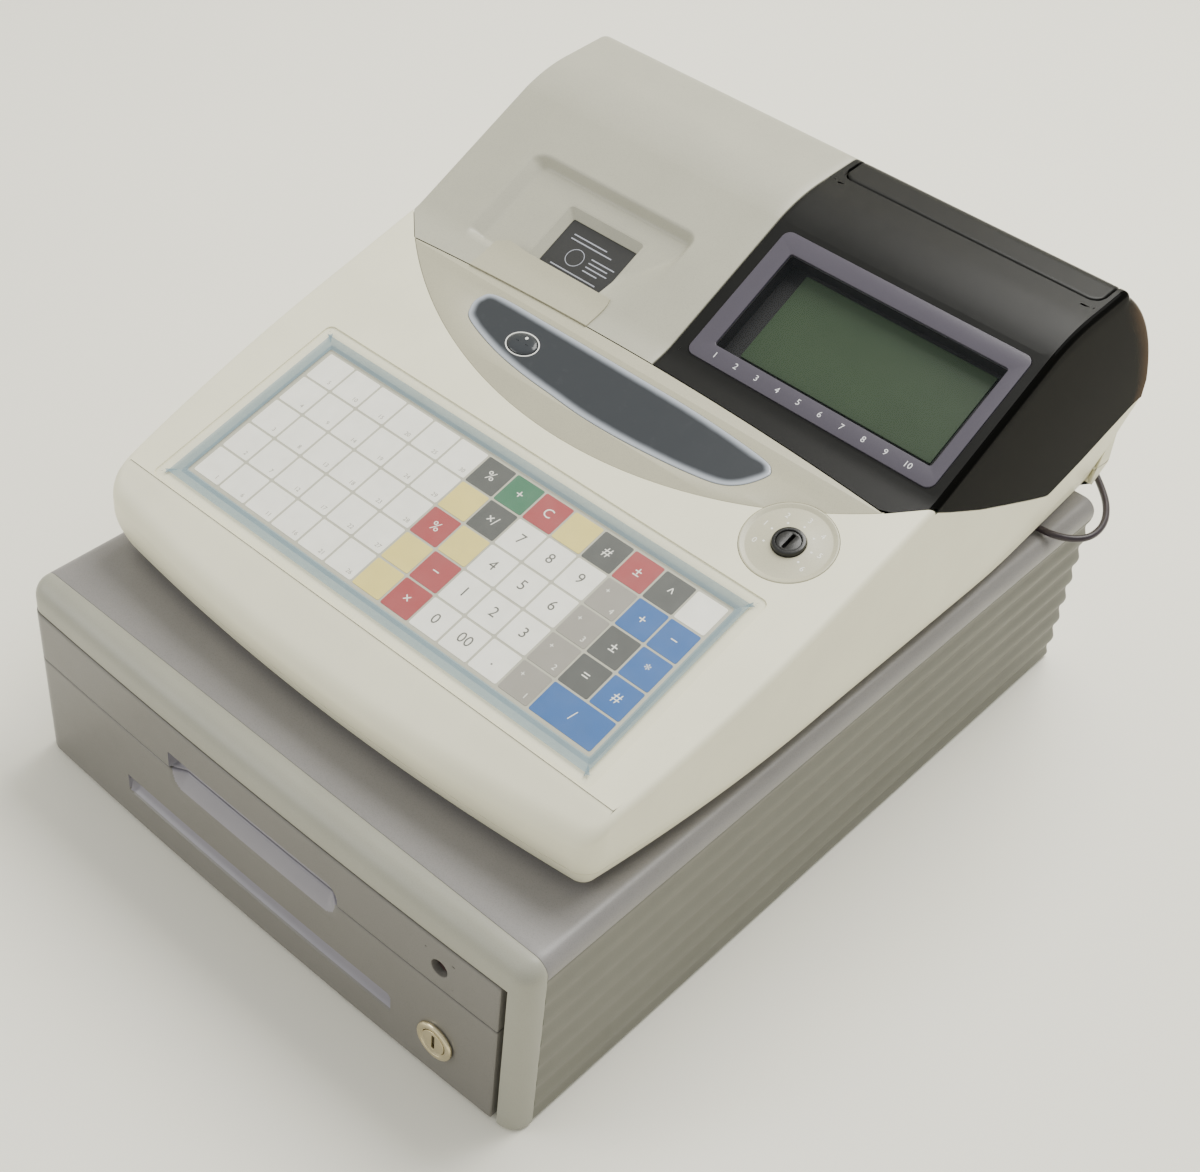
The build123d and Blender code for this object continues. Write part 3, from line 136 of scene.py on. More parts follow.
class Draft:
    """Vertices and faces of one piece, gathered in millimetres."""

    def __init__(self) -> None:
        """Start without vertices or faces."""
        self.points: list[Array] = []
        self.faces: list[tuple[int, ...]] = []
        self.tints: list[Array] = []
        self.tint: Sequence[float] = (0.0, 0.0, 0.0, 1.0)
        self.count = 0

    def add(self, points: Array, tints: Array | None = None) -> int:
        """Add vertices, with their stored colours, and return the index of the first.

        Args:
            points: array whose last axis is (x, y, z).
            tints: the colours stored on them, or None for the draft's own tint.

        Returns:
            The index of the first new vertex.
        """
        start = self.count
        rows = np.asarray(points, dtype=float).reshape(-1, 3)
        self.points.append(rows)
        self.tints.append(np.tile(self.tint, (len(rows), 1)) if tints is None else tints.reshape(-1, 4))
        self.count += len(rows)
        return start

    def grid(self, points: Array | Sequence[Array], wrap_cols: bool = False, flip: bool = False,
             tints: Array | None = None) -> None:
        """Add a surface given as a grid of points.

        Args:
            points: array of rows by columns by 3.
            wrap_cols: join the last column to the first.
            flip: turn the faces over.
            tints: colours stored on the vertices, in the points' order.
        """
        rows, cols = np.shape(points)[:2]
        start = self.add(points, tints)
        for i in range(rows - 1):
            for j in range(cols if wrap_cols else cols - 1):
                a, b = start + i * cols + j, start + i * cols + (j + 1) % cols
                self.faces.append((a + cols, b + cols, b, a) if flip else (a, b, b + cols, a + cols))

    def cells(self, points: Array, chosen: Array) -> None:
        """Add a grid of points and the faces of its chosen cells, one truth value per cell.

        Args:
            points: array of rows by columns by 3.
            chosen: one truth value per cell.
        """
        start, cols = self.add(points), points.shape[1]
        for i, j in np.argwhere(chosen):
            a = int(start + i * cols + j)
            self.faces.append((a, a + cols, a + cols + 1, a + 1))

    def cap(self, loops: Sequence[Array], flat: Sequence[Array], flip: bool = False) -> None:
        """Fill a planar region that has an outer loop and holes.

        Args:
            loops: the loops' points in space.
            flat: the same loops' points in the plane.
            flip: turn the faces over.
        """
        starts = [self.add(loop) for loop in loops]
        index = np.concatenate([np.arange(s, s + len(l)) for s, l in zip(starts, loops)])
        rows = [[Vector((p[0], p[1], 0.0)) for p in loop] for loop in flat]
        for tri in tessellate_polygon(rows):
            ids = [int(index[k]) for k in tri]
            a, b, c = (np.concatenate(flat)[k] for k in tri)
            turn = (b[0] - a[0]) * (c[1] - a[1]) - (b[1] - a[1]) * (c[0] - a[0])
            if abs(turn) < 1e-9:
                continue
            self.faces.append(tuple(ids) if (turn > 0) != flip else tuple(reversed(ids)))

    def fill(self, plane: TiltedPlane, w: float, *loops: Array) -> None:
        """Fill a region of a plane at the height w: its outer loop, then its holes."""
        self.cap([plane.at(loop, w) for loop in loops], loops)

    def stand_in(self, node: str, body: str, material: bpy.types.Material, slot: str,
                 **options: float) -> bpy.types.Object:
        """Make the piece, named after the node with "_looks", that stands for one node."""
        return self.piece(node + "_looks", body, material, slot, [node], **options)

    def piece(self, name: str, body: str, material: bpy.types.Material, slot: str,
              replaces: Sequence[str] = (), sharp: float = 35.0, weld: float = 0.004,
              outward: bool = False) -> bpy.types.Object:
        """Make the mesh object, in metres, riding on a body.

        Args:
            name: the piece's name.
            body: the body that it moves with.
            material: its finish.
            slot: the record's material slot; not used.
            replaces: the nodes that it stands for.
            sharp: faces that meet at more than this angle, in degrees, keep a crisp edge.
            weld: vertices nearer than this, in millimetres, become one.
            outward: turn all faces of a shell the same way, outwards.

        Returns:
            The new object.
        """
        mesh = bpy.data.meshes.new(name)
        points = np.concatenate(self.points) * MM
        mesh.from_pydata([tuple(p) for p in points], [], self.faces)
        ink = mesh.attributes.new("ink", "FLOAT_COLOR", "POINT")
        ink.data.foreach_set("color", np.concatenate(self.tints).astype(np.float32).ravel())
        obj = bpy.data.objects.new(name, mesh)
        bpy.context.scene.collection.objects.link(obj)
        work = bmesh.new()
        work.from_mesh(mesh)
        if weld > 0:
            bmesh.ops.remove_doubles(work, verts=work.verts, dist=weld * MM)
            bmesh.ops.dissolve_degenerate(work, edges=work.edges, dist=1e-7)
        loose = [vertex for vertex in work.verts if not vertex.link_faces]
        bmesh.ops.delete(work, geom=loose, context="VERTS")
        if outward:
            bmesh.ops.recalc_face_normals(work, faces=work.faces)
        work.to_mesh(mesh)
        work.free()
        mesh.shade_smooth()
        mesh.set_sharp_from_angle(angle=radians(sharp))
        mesh.materials.append(material)
        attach(obj, body)
        if replaces:
            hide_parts(*replaces)
        log.info("%s: %d faces, on %s", name, len(mesh.polygons), body)
        return obj


# ------------------------------------------------------------------ finishes
def linear(hex_colour: str) -> Colour:
    """Turn a screen colour such as "E0DDC8" into linear light."""
    values = [int(hex_colour[i:i + 2], 16) / 255 for i in (0, 2, 4)]
    return tuple(v / 12.92 if v <= 0.04045 else ((v + 0.055) / 1.055) ** 2.4 for v in values) + (1.0,)


def shade(colour: Sequence[float], factor: float) -> Colour:
    """Lighten or darken a linear colour."""
    return tuple(min(1.0, c * factor) for c in colour[:3]) + (1.0,)


class NodeSheet:
    """A material's node tree, with short calls for the nodes that the finishes share."""

    def __init__(self, name: str) -> None:
        """Make a material with this name and only its shader."""
        self.material = bpy.data.materials.new(name)
        self.material.use_nodes = True
        self.tree = self.material.node_tree
        self.shader = self.tree.nodes["Principled BSDF"]
        self.coords = self.add("TexCoord", {}, "Object")

    def put(self, inputs: bpy.types.NodeInputs, values: dict[str | int, Value]) -> None:
        """Link a node's inputs to sockets, or set them to values.

        Args:
            inputs: the inputs of one node.
            values: sockets or values, by input.
        """
        for name, value in values.items():
            if isinstance(value, bpy.types.NodeSocket):
                self.tree.links.new(value, inputs[name])
            else:
                inputs[name].default_value = value

    def add(self, kind: str, values: dict[str | int, Value], output: str, **settings: str) -> Socket:
        """Add a node.

        Args:
            kind: the node's type, without its "ShaderNode".
            values: sockets or values for its inputs.
            output: the output that is wanted.
            settings: the node's own settings.

        Returns:
            The output.
        """
        node = self.tree.nodes.new("ShaderNode" + kind)
        for setting, value in settings.items():
            setattr(node, setting, value)
        self.put(node.inputs, values)
        return node.outputs[output]

    def feed(self, **values: Value) -> bpy.types.Material:
        """Link or set the shader's inputs, spaces in their names being underscores."""
        self.put(self.shader.inputs, {name.replace("_", " "): v for name, v in values.items()})
        return self.material

    def stored(self, output: str) -> Socket:
        """The colour stored on the mesh."""
        return self.add("Attribute", {}, output, attribute_name="ink")

    def multiply(self, first: Socket, second: Socket) -> Socket:
        """The product of two colours."""
        return self.add("Mix", {"Factor": 1.0, "A": first, "B": second}, "Result",
                        data_type="RGBA", blend_type="MULTIPLY")

    def noise(self, size_mm: float, detail: float = 3.0, roughness: float = 0.55,
              stretch: Triple = (1.0, 1.0, 1.0)) -> Socket:
        """Noise whose features are about size_mm across, from 0 to 1."""
        place = self.add("Mapping", {"Scale": stretch, "Vector": self.coords}, "Vector")
        return self.add("TexNoise", {"Scale": 1.0 / (size_mm * MM), "Detail": detail,
                                     "Roughness": roughness, "Vector": place}, "Fac")

    def ramp(self, value: Socket, low: Sequence[float], high: Sequence[float], start: float = 0.3,
             end: float = 0.7) -> Socket:
        """Colours from low to high as the value goes from start to end.

        Args:
            value: socket from 0 to 1.
            low, high: the two linear colours.
            start, end: values at which they are reached.

        Returns:
            The colour.
        """
        colour = self.add("ValToRGB", {"Fac": value}, "Color")
        for stop, place, shown in zip(colour.node.color_ramp.elements, (start, end), (low, high)):
            stop.position, stop.color = place, shown
        return colour

    def spread(self, value: Socket, low: float, high: float) -> Socket:
        """A 0 to 1 value mapped to another range."""
        return self.add("MapRange", {"To Min": low, "To Max": high, "Value": value}, "Result")

    def bump(self, value: Socket, depth_mm: float, strength: float = 1.0) -> Socket:
        """Surface relief of the given depth."""
        return self.add("Bump", {"Strength": strength, "Distance": depth_mm * MM, "Height": value},
                        "Normal")


@dataclass(frozen=True)
class Plastic:
    """Moulded plastic with a spark-eroded grain, faint mottling and a little handling wear."""

    name: str
    colour: str
    roughness: float = 0.45
    grain_mm: float = 0.5
    grain_depth: float = 0.03
    mottle: float = 0.05
    flecks: float = 0.0
    coat: float = 0.0
    specular: float = 0.5

    def make(self) -> bpy.types.Material:
        """Build the material."""
        sheet = NodeSheet(self.name)
        base = linear(self.colour)
        tint = sheet.ramp(sheet.noise(38.0, 4.0), shade(base, 1 - self.mottle),
                          shade(base, 1 + self.mottle))
        if self.flecks:
            fleck = sheet.noise(0.45, 1.0, 0.4)
            tint = sheet.multiply(tint, sheet.ramp(fleck, shade((1, 1, 1), 1 - self.flecks),
                    (1, 1, 1, 1), 0.33, 0.5))
        smear = sheet.spread(sheet.noise(14.0, 5.0, 0.6), self.roughness - 0.06, self.roughness + 0.06)
        relief = sheet.bump(sheet.noise(self.grain_mm, 2.0, 0.5), self.grain_depth, 0.6)
        return sheet.feed(Base_Color=tint, Roughness=smear, Normal=relief,
                          Specular_IOR_Level=self.specular, Coat_Weight=self.coat, Coat_Roughness=0.12)


@dataclass(frozen=True)
class Metal:
    """Sheet or turned metal with fine scratches along one direction."""

    name: str
    colour: str
    roughness: float = 0.32
    stretch: Triple = (1.0, 0.04, 1.0)

    def make(self) -> bpy.types.Material:
        """Build the material."""
        sheet = NodeSheet(self.name)
        base = linear(self.colour)
        lines = sheet.noise(0.8, 3.0, 0.6, self.stretch)
        return sheet.feed(Metallic=1.0, Base_Color=sheet.ramp(sheet.noise(20.0), shade(base, 0.88),
                shade(base, 1.06)), Roughness=sheet.spread(lines, self.roughness - 0.08, self.roughness
                + 0.12), Normal=sheet.bump(lines, 0.006, 0.5))


@dataclass(frozen=True)
class Printed:
    """Printed film whose colour is stored on the mesh, under a satin laminate."""

    name: str
    roughness: float = 0.4

    def make(self) -> bpy.types.Material:
        """Build the material."""
        sheet = NodeSheet(self.name)
        wear = sheet.ramp(sheet.noise(9.0, 4.0), (0.93, 0.93, 0.92, 1), (1, 1, 1, 1))
        return sheet.feed(Base_Color=sheet.multiply(sheet.stored("Color"), wear),
                          Roughness=sheet.spread(sheet.noise(3.0), self.roughness - 0.05,
                                                 self.roughness + 0.08),
                          Normal=sheet.bump(sheet.noise(0.35, 1.0), 0.01, 0.4))


@dataclass(frozen=True)
class ClearSheet:
    """Thin see-through plastic: part of the light passes straight through, the rest scatters."""

    name: str
    colour: str
    through: float
    roughness: float = 0.25

    def make(self) -> bpy.types.Material:
        """Build the material."""
        sheet = NodeSheet(self.name)
        base, solid = linear(self.colour), 1.0 - self.through
        haze = sheet.noise(11.0, 5.0, 0.6)
        return sheet.feed(Base_Color=sheet.ramp(sheet.noise(16.0, 4.0), shade(base, 0.95),
                shade(base, 1.04)), Roughness=sheet.spread(haze, self.roughness - 0.05, self.roughness
                + 0.1), Alpha=sheet.spread(haze, solid - 0.04, solid + 0.04),
                Normal=sheet.bump(sheet.noise(6.0, 3.0), 0.05, 0.3))


@dataclass(frozen=True)
class EdgeGlow:
    """Glossy dark plastic whose value on the mesh fades it to a paler rim or a warmer edge; the smoked
    side's warmer edge is a painted glow of light passing through the plastic.
    """

    name: str
    colour: str
    rim: str
    roughness: float = 0.16
    grain_depth: float = 0.005
    specular: float = 0.3
    coat: float = 0.2

    def make(self) -> bpy.types.Material:
        """Build the material."""
        sheet = NodeSheet(self.name)
        value = sheet.add("Math", {0: sheet.noise(6.0, 3.0), 1: 0.08, 2: sheet.stored("Fac")}, "Value",
                          operation="MULTIPLY_ADD")
        smear = sheet.noise(12.0, 5.0, 0.6)
        return sheet.feed(Base_Color=sheet.ramp(value, linear(self.colour), linear(self.rim), 0.05,
                1.0), Roughness=sheet.spread(smear, self.roughness - 0.04, self.roughness + 0.05),
                Normal=sheet.bump(sheet.noise(0.5, 2.0), self.grain_depth, 0.5),
                Specular_IOR_Level=self.specular, Coat_Weight=self.coat, Coat_Roughness=0.05)


class Palette:
    """Every finish of the object, made once and looked up by name."""

    def __init__(self) -> None:
        """Make every finish."""
        finishes = [
            Plastic("ivory case", "EEEACF", 0.46, 0.55, 0.03, 0.03),
            Plastic("grey ivory cover", "B0AE9D", 0.42, 0.5, 0.03, 0.03, 0.10),
            Plastic("trim plate", "B3AF98", 0.42, 0.5, 0.03, 0.03, 0.10),
            Plastic("satin black", "171716", 0.34, 0.55, 0.03, 0.08, 0.0, 0.0, 0.18),
            Plastic("gloss black", "0D0D0C", 0.12, 0.8, 0.005, 0.06, 0.0, 0.0, 0.2),
            Plastic("bezel lilac grey", "4E4A54", 0.3, 0.5, 0.02, 0.03, 0.06, 0.0, 0.35),
            Plastic("cabinet grey", "868382", 0.38, 0.5, 0.03, 0.03, 0.12),
            Plastic("bar grey", "9C9B8E", 0.44, 0.5, 0.04, 0.03, 0.06),
            Plastic("front grey", "6E6B66", 0.33, 0.5, 0.03, 0.03, 0.12),
            Plastic("rib grey", "6E6D62", 0.5, 0.6, 0.05, 0.04, 0.08),
            # painted light: a lighter copy of the front grey for the scoop and slot, standing in for
            # the light their upward-facing ledges catch
            Plastic("front grey painted lit", "86838B", 0.3, 0.5, 0.02, 0.03),
            Plastic("tray black", "2B2B2B", 0.5, 0.6, 0.05, 0.06),
            Plastic("dark inside", "141414", 0.6, 0.6, 0.05, 0.06),
            Plastic("white gear plastic", "D8D6CE", 0.4, 0.6, 0.02, 0.04),
            Plastic("solder mask green", "1E5A33", 0.3, 0.6, 0.02, 0.10),
            Plastic("thermal paper", "E8E6DC", 0.7, 0.3, 0.02, 0.02),
            Plastic("printed mark", "E4E4E0", 0.45, 0.3, 0.0, 0.02),
            Plastic("soft rubber", "1C1B1A", 0.7, 0.6, 0.06, 0.08),
            Plastic("panel ink", "A2A4AE", 0.5, 0.3, 0.0, 0.03),
            Plastic("cable jacket", "2A2028", 0.35, 0.8, 0.02, 0.06),
            Plastic("dial ring", "BFBBA2", 0.36, 0.4, 0.02, 0.03, 0.10),
            Plastic("liquid crystal", "3F4F3A", 0.35, 0.25, 0.02, 0.05, 0.12, 0.0, 0.3),
            Plastic("switch black", "1A1A19", 0.3, 0.4, 0.02, 0.08),
            Plastic("ruby lens", "2A1214", 0.12, 0.8, 0.0, 0.06, 0.0, 0.5),
            Metal("zinc steel", "A9A9A6", 0.35),
            Metal("pale nickel", "D2C6A4", 0.22, (1.0, 1.0, 1.0)),
            Printed("key print"),
            ClearSheet("wet cover film", "DCE0D8", 0.94, 0.15),
            ClearSheet("wet cover bevel", "8AA2AB", 0.34, 0.2),
            ClearSheet("display glass", "20242A", 0.85, 0.05),
            EdgeGlow("label graphite", "34373B", "A9AFB8", 0.2),
            # painted light: the brown rim is a painted glow of light shining through the smoked
            # plastic's edge
            EdgeGlow("smoked side", "0B0B0A", "4A3826", 0.12, 0.005, 0.005, 0.01),
        ]
        self.made = {finish.name: finish.make() for finish in finishes}

    def __getitem__(self, name: str) -> bpy.types.Material:
        """The material of the finish with this name."""
        return self.made[name]


# ------------------------------------------------------------------ studio
@dataclass(frozen=True)
class Studio:
    """Plain pale floor and backdrop, soft light and the camera."""

    eye: Triple = (0.46355, -0.59559, 0.76017)
    azimuth: float = 37.40
    elevation: float = 41.93
    roll: float = 6.48
    lens: float = 59.05
    floor_half: float = 6.0

    def camera(self) -> None:
        """Place the camera; its roll lifts its right side."""
        data = bpy.data.cameras.new("camera")
        data.lens = self.lens
        data.sensor_width = 36.0
        data.clip_start, data.clip_end = 0.02, 30.0
        camera = bpy.data.objects.new("camera", data)
        bpy.context.scene.collection.objects.link(camera)
        a, e, r = (radians(v) for v in (self.azimuth, self.elevation, self.roll))
        forward = Vector((-sin(a) * cos(e), cos(a) * cos(e), -sin(e)))
        right = forward.cross(Vector((0, 0, 1))).normalized()
        up = right.cross(forward)
        turned = right * cos(r) + up * sin(r)
        raised = up * cos(r) - right * sin(r)
        camera.matrix_world = Matrix(((turned.x, raised.x, -forward.x, self.eye[0]),
                (turned.y, raised.y, -forward.y, self.eye[1]),
                (turned.z, raised.z, -forward.z, self.eye[2]), (0, 0, 0, 1)))
        bpy.context.scene.camera = camera

    def floor(self) -> None:
        """A floor that curves up into a backdrop behind the object."""
        half, wall, bend = self.floor_half, 2.6, 1.2
        rows = [(-half, 0.0)] + [(wall - bend + bend * sin(t), bend - bend * cos(t))
                                 for t in quarter(16)] + [(wall, 4.0)]
        points = np.array([[[x, y, z] for x in (-half, half)] for y, z in rows])
        turn = radians(self.azimuth)
        spun = points.copy()
        spun[..., 0] = points[..., 0] * cos(turn) - points[..., 1] * sin(turn)
        spun[..., 1] = points[..., 0] * sin(turn) + points[..., 1] * cos(turn)
        mesh = bpy.data.meshes.new("floor")
        faces = [(2 * i, 2 * i + 1, 2 * i + 3, 2 * i + 2) for i in range(len(rows) - 1)]
        mesh.from_pydata([tuple(p) for p in spun.reshape(-1, 3)], [], faces)
        mesh.shade_smooth()
        floor = bpy.data.objects.new("floor", mesh)
        bpy.context.scene.collection.objects.link(floor)
        sheet, base = NodeSheet("pale table"), linear("F6F3E6")
        mesh.materials.append(sheet.feed(Base_Color=sheet.ramp(sheet.noise(700.0), shade(base, 0.97),
                shade(base, 1.02)), Roughness=0.55))

    def lamp(self, name: str, place: Triple, size: float, power: float,
             colour: Triple = (1, 1, 1)) -> None:
        """A square soft light aimed at the object.

        Args:
            name: the lamp's name.
            place: its position, in metres.
            size: its width, in metres.
            power: its power, in watts.
            colour: its linear colour.
        """
        data = bpy.data.lights.new(name, "AREA")
        data.size = size
        data.energy = power
        data.color = colour
        lamp = bpy.data.objects.new(name, data)
        bpy.context.scene.collection.objects.link(lamp)
        lamp.location = place
        aim = Vector((0.0, 0.0, 0.12)) - Vector(place)
        lamp.rotation_mode = "QUATERNION"
        lamp.rotation_quaternion = aim.to_track_quat("-Z", "Y")

    def light(self) -> None:
        """A pale room with one large soft light above and a weaker one beside."""
        world = bpy.data.worlds.new("pale room")
        world.use_nodes = True
        world.node_tree.nodes["Background"].inputs["Color"].default_value = (0.93, 0.94, 0.90, 1)
        world.node_tree.nodes["Background"].inputs["Strength"].default_value = 0.8
        bpy.context.scene.world = world
        self.lamp("overhead", (0.1, 1.0, 1.95), 1.4, 68.0, (1.0, 0.99, 0.95))
        self.lamp("front left", (-1.6, -1.7, 1.3), 1.2, 20.0, (1.0, 0.99, 0.96))


# ------------------------------------------------------------------ release cable
@dataclass(frozen=True)
class ReleaseCable:
    """Cable from the cabinet round the rear right corner and into the register's back."""

    radius: float = 1.9
    length: float = 0.1468
    stand: float = 114.0
    route: tuple[Triple, ...] = (
        (137.0, 174.8, 3.0), (152.0, 174.8, 3.0), (167.0, 176.4, 3.1), (178.2, 186.0, 3.1),
        (179.0, 202.0, 3.2), (171.6, 218.0, 3.4), (158.6, 232.0, 3.8), (144.0, 242.6, 5.4),
        (127.0, 246.4, 10.6), (112.0, 246.4, 10.6))

    def point(self, place: Triple) -> Triple:
        """A route point in metres; its height is measured from the cabinet's top."""
        return place[0] * MM, place[1] * MM, (place[2] + self.stand) * MM

    def build(self, palette: Palette) -> None:
        """Make the cable as one smooth spline through the route's control points.

        Args:
            palette: the finishes.
        """
        curve = bpy.data.curves.new("release_cable_looks", "CURVE")
        curve.dimensions = "3D"
        curve.bevel_depth = self.radius * MM
        curve.bevel_resolution = 5
        curve.resolution_u = 12
        curve.use_fill_caps = True
        spline = curve.splines.new("NURBS")
        spline.points.add(len(self.route) - 1)
        for point, place in zip(spline.points, self.route):
            point.co = (*self.point(place), 1.0)
        spline.order_u = 3
        spline.use_endpoint_u = True
        cable = bpy.data.objects.new("release_cable_looks", curve)
        bpy.context.scene.collection.objects.link(cable)
        curve.materials.append(palette["cable jacket"])
        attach(cable, "cabinet")
        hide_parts("release_cable")
        self.point(self.route[0])
        log.info("release_cable_looks: %d route points, on cabinet", len(self.route))


# ------------------------------------------------------------------ outlines and plates
def rounded_loop(u0: float, u1: float, v0: float, v1: float, radius: float, steps: int = 5) -> Array:
    """Rounded rectangle as an anticlockwise loop of (u, v) points.

    Each corner is a quarter circle: centre + radius (cos t, sin t).

    Args:
        u0, u1: left and right edges.
        v0, v1: lower and upper edges.
        radius: radius of the corners.
        steps: steps in each corner.

    Returns:
        Array of (u, v) rows.
    """
    corners = ((u1 - radius, v0 + radius), (u1 - radius, v1 - radius),
               (u0 + radius, v1 - radius), (u0 + radius, v0 + radius))
    points = []
    for k, (cu, cv) in enumerate(corners):
        for t in quarter(steps):
            angle = t + (k - 1) * pi / 2
            points.append((cu + radius * cos(angle), cv + radius * sin(angle)))
    return np.array(points)


def oval_loop(u: float, v: float, half_u: float, half_v: float, count: int = 72) -> Array:
    """Circle or ellipse as an anticlockwise loop of (u, v) points."""
    t = np.arange(count) * 2 * pi / count
    return stack(u + half_u * np.cos(t), v + half_v * np.sin(t))


def spline_loop(corners: Sequence[Pair], steps: int = 10) -> Array:
    """Closed Catmull-Rom curve through the given points.

    Between p1 and p2 the curve is 0.5 (2 p1 + (p2 - p0) t + (2 p0 - 5 p1 + 4 p2 - p3) t^2
    + (3 p1 - p0 - 3 p2 + p3) t^3).

    Args:
        corners: the points that it goes through.
        steps: steps from one of them to the next.

    Returns:
        Array of (u, v) rows.
    """
    p = np.array(corners, dtype=float)
    rows = []
    for k in range(len(p)):
        p0, p1, p2, p3 = (p[(k + j) % len(p)] for j in (-1, 0, 1, 2))
        for t in np.arange(steps) / steps:
            rows.append(0.5 * (2 * p1 + (p2 - p0) * t + (2 * p0 - 5 * p1 + 4 * p2 - p3) * t ** 2
                               + (3 * p1 - p0 - 3 * p2 + p3) * t ** 3))
    return np.array(rows)


def inset_loop(loop: Array, distance: float) -> Array:
    """Move an anticlockwise loop inward along its normals (-dv, du) / length."""
    edge = np.roll(loop, -1, axis=0) - np.roll(loop, 1, axis=0)
    edge = edge / (np.linalg.norm(edge, axis=1, keepdims=True) + 1e-12)
    return loop + stack(-edge[:, 1], edge[:, 0]) * distance


def stack(*columns: Array | float) -> Array:
    """Put coordinates together as points; a single number goes with every point."""
    return np.stack(np.broadcast_arrays(*columns), axis=-1)


def quarter(count: int) -> Array:
    """Even angles over a quarter turn."""
    return np.linspace(0, pi / 2, count)


def shares(count: int) -> Array:
    """Even steps from 0 to 1."""
    return np.linspace(0, 1, count)


def between(start: Array | float, end: Array | float, count: int) -> Array:
    """Rows at even steps from one row of numbers to another."""
    return start + (end - start) * shares(count)[:, None]


def join(*parts: Array | Sequence, axis: int = 0) -> Array:
    """Put rows of points, or with axis 1 columns of points, one after the other."""
    return np.concatenate(parts, axis=axis)


def lift(loop: Array, w: float | Array) -> Array:
    """Give (u, v) points the height w, or a height each."""
    return stack(loop[:, 0], loop[:, 1], w)


def left_normals(path: Array) -> Array:
    """Unit normals to the left of a path: (-dy, dx) / length."""
    ahead = join(path[1:], path[-1:]) - join(path[:1], path[:-1])
    ahead = ahead / np.linalg.norm(ahead, axis=1, keepdims=True)
    return stack(-ahead[:, 1], ahead[:, 0])


def cells_outside(x: Array, y: Array, box: Box) -> Array:
    """Which cells of a grid have their middle outside a box (x0, x1, y0, y1)."""
    across, along = (x[:-1, :-1] + x[:-1, 1:]) / 2, (y[:-1, :-1] + y[1:, :-1]) / 2
    return ~((across > box[0]) & (across < box[1]) & (along > box[2]) & (along < box[3]))


def smooth_step(value: Array, start: float, end: float) -> Array:
    """Ease from 0 at start to 1 at end: s = t^2 (3 - 2 t)."""
    t = np.clip((value - start) / (end - start), 0.0, 1.0)
    return t * t * (3 - 2 * t)


@dataclass(frozen=True)
class Plate:
    """A plate on a tilted plane: side wall, rounded edge and flat top, with holes.

    At angle t of the rounded edge the loop is inset by r (1 - cos t) and its height is
    top - r (1 - sin t).
    """

    plane: TiltedPlane
    bottom: float
    top: float
    edge: float = 0.4
    steps: int = 4

    def build(self, draft: Draft, outline: Array, holes: Sequence[Array] = (),
              tint: Sequence[float] = (0, 0, 0, 1)) -> None:
        """Add the plate to a draft.

        Args:
            draft: where it goes.
            outline: anticlockwise outer loop of (u, v) points.
            holes: anticlockwise loops of its holes.
            tint: colour stored on its vertices.
        """
        tops = []
        draft.tint = tint
        for loop, sign in [(outline, 1.0)] + [(hole, -1.0) for hole in holes]:
            rows = [lift(loop, self.bottom)]
            for t in quarter(self.steps):
                rows.append(lift(inset_loop(loop, sign * self.edge * (1 - cos(t))),
                                 self.top - self.edge * (1 - sin(t))))
            draft.grid(self.plane.place(rows), wrap_cols=True, flip=sign < 0)
            tops.append(rows[-1])
        draft.fill(self.plane, self.top, *[row[:, :2] for row in tops])


@dataclass(frozen=True)
class Turned:
    """A turned piece: a profile of (radius, w) points carried round an axis normal to a plane."""

    plane: TiltedPlane
    u: float
    v: float
    count: int = 72

    def build(self, draft: Draft, profile: Sequence[Pair]) -> None:
        """Add the surface: (u + r cos t, v + r sin t, w)."""
        t = np.arange(self.count) * 2 * pi / self.count
        rows = [stack(self.u + r * np.cos(t), self.v + r * np.sin(t), w) for r, w in profile]
        draft.grid(self.plane.place(rows), wrap_cols=True)


class Lettering:
    """Generic figures and signs, drawn as flat meshes just above a surface."""

    def __init__(self) -> None:
        """Start without figures."""
        self.draft = Draft()

    def write(self, text: str, plane: TiltedPlane, u: float, v: float, w: float, size: float,
              tint: Sequence[float]) -> None:
        """Add a text centred on (u, v), its height being size in millimetres.

        Args:
            text: a figure or sign.
            plane: the surface under it.
            u, v: its centre.
            w: its height above the surface.
            size: its own height.
            tint: its linear colour.
        """
        curve = bpy.data.curves.new("figure", "FONT")
        curve.body = text
        curve.align_x, curve.align_y = "CENTER", "CENTER"
        curve.size = size * 1.4
        curve.resolution_u = 3
        holder = bpy.data.objects.new("figure", curve)
        mesh = bpy.data.meshes.new_from_object(holder)
        flat = np.array([vertex.co[:2] for vertex in mesh.vertices])
        if len(flat):
            self.draft.tint = tint
            start = self.draft.add(plane.at(flat + np.array([u, v]), w))
            for polygon in mesh.polygons:
                self.draft.faces.append(tuple(start + k for k in polygon.vertices))
        bpy.data.objects.remove(holder)
        bpy.data.curves.remove(curve)
        bpy.data.meshes.remove(mesh)


# ------------------------------------------------------------------ keyboard
class Ink(Enum):
    """Printing colours of the keyboard."""

    WHITE = "FAF8EE"
    YELLOW = "E6D478"
    RED = "A53A3E"
    GREEN = "2F6F4E"
    BLUE = "1A5CA2"
    GREY = "4A4B49"
    TAUPE = "98938A"
    TEXT = "55544E"
    PALE = "F2F1E8"
    SHEET = "B9B7A6"


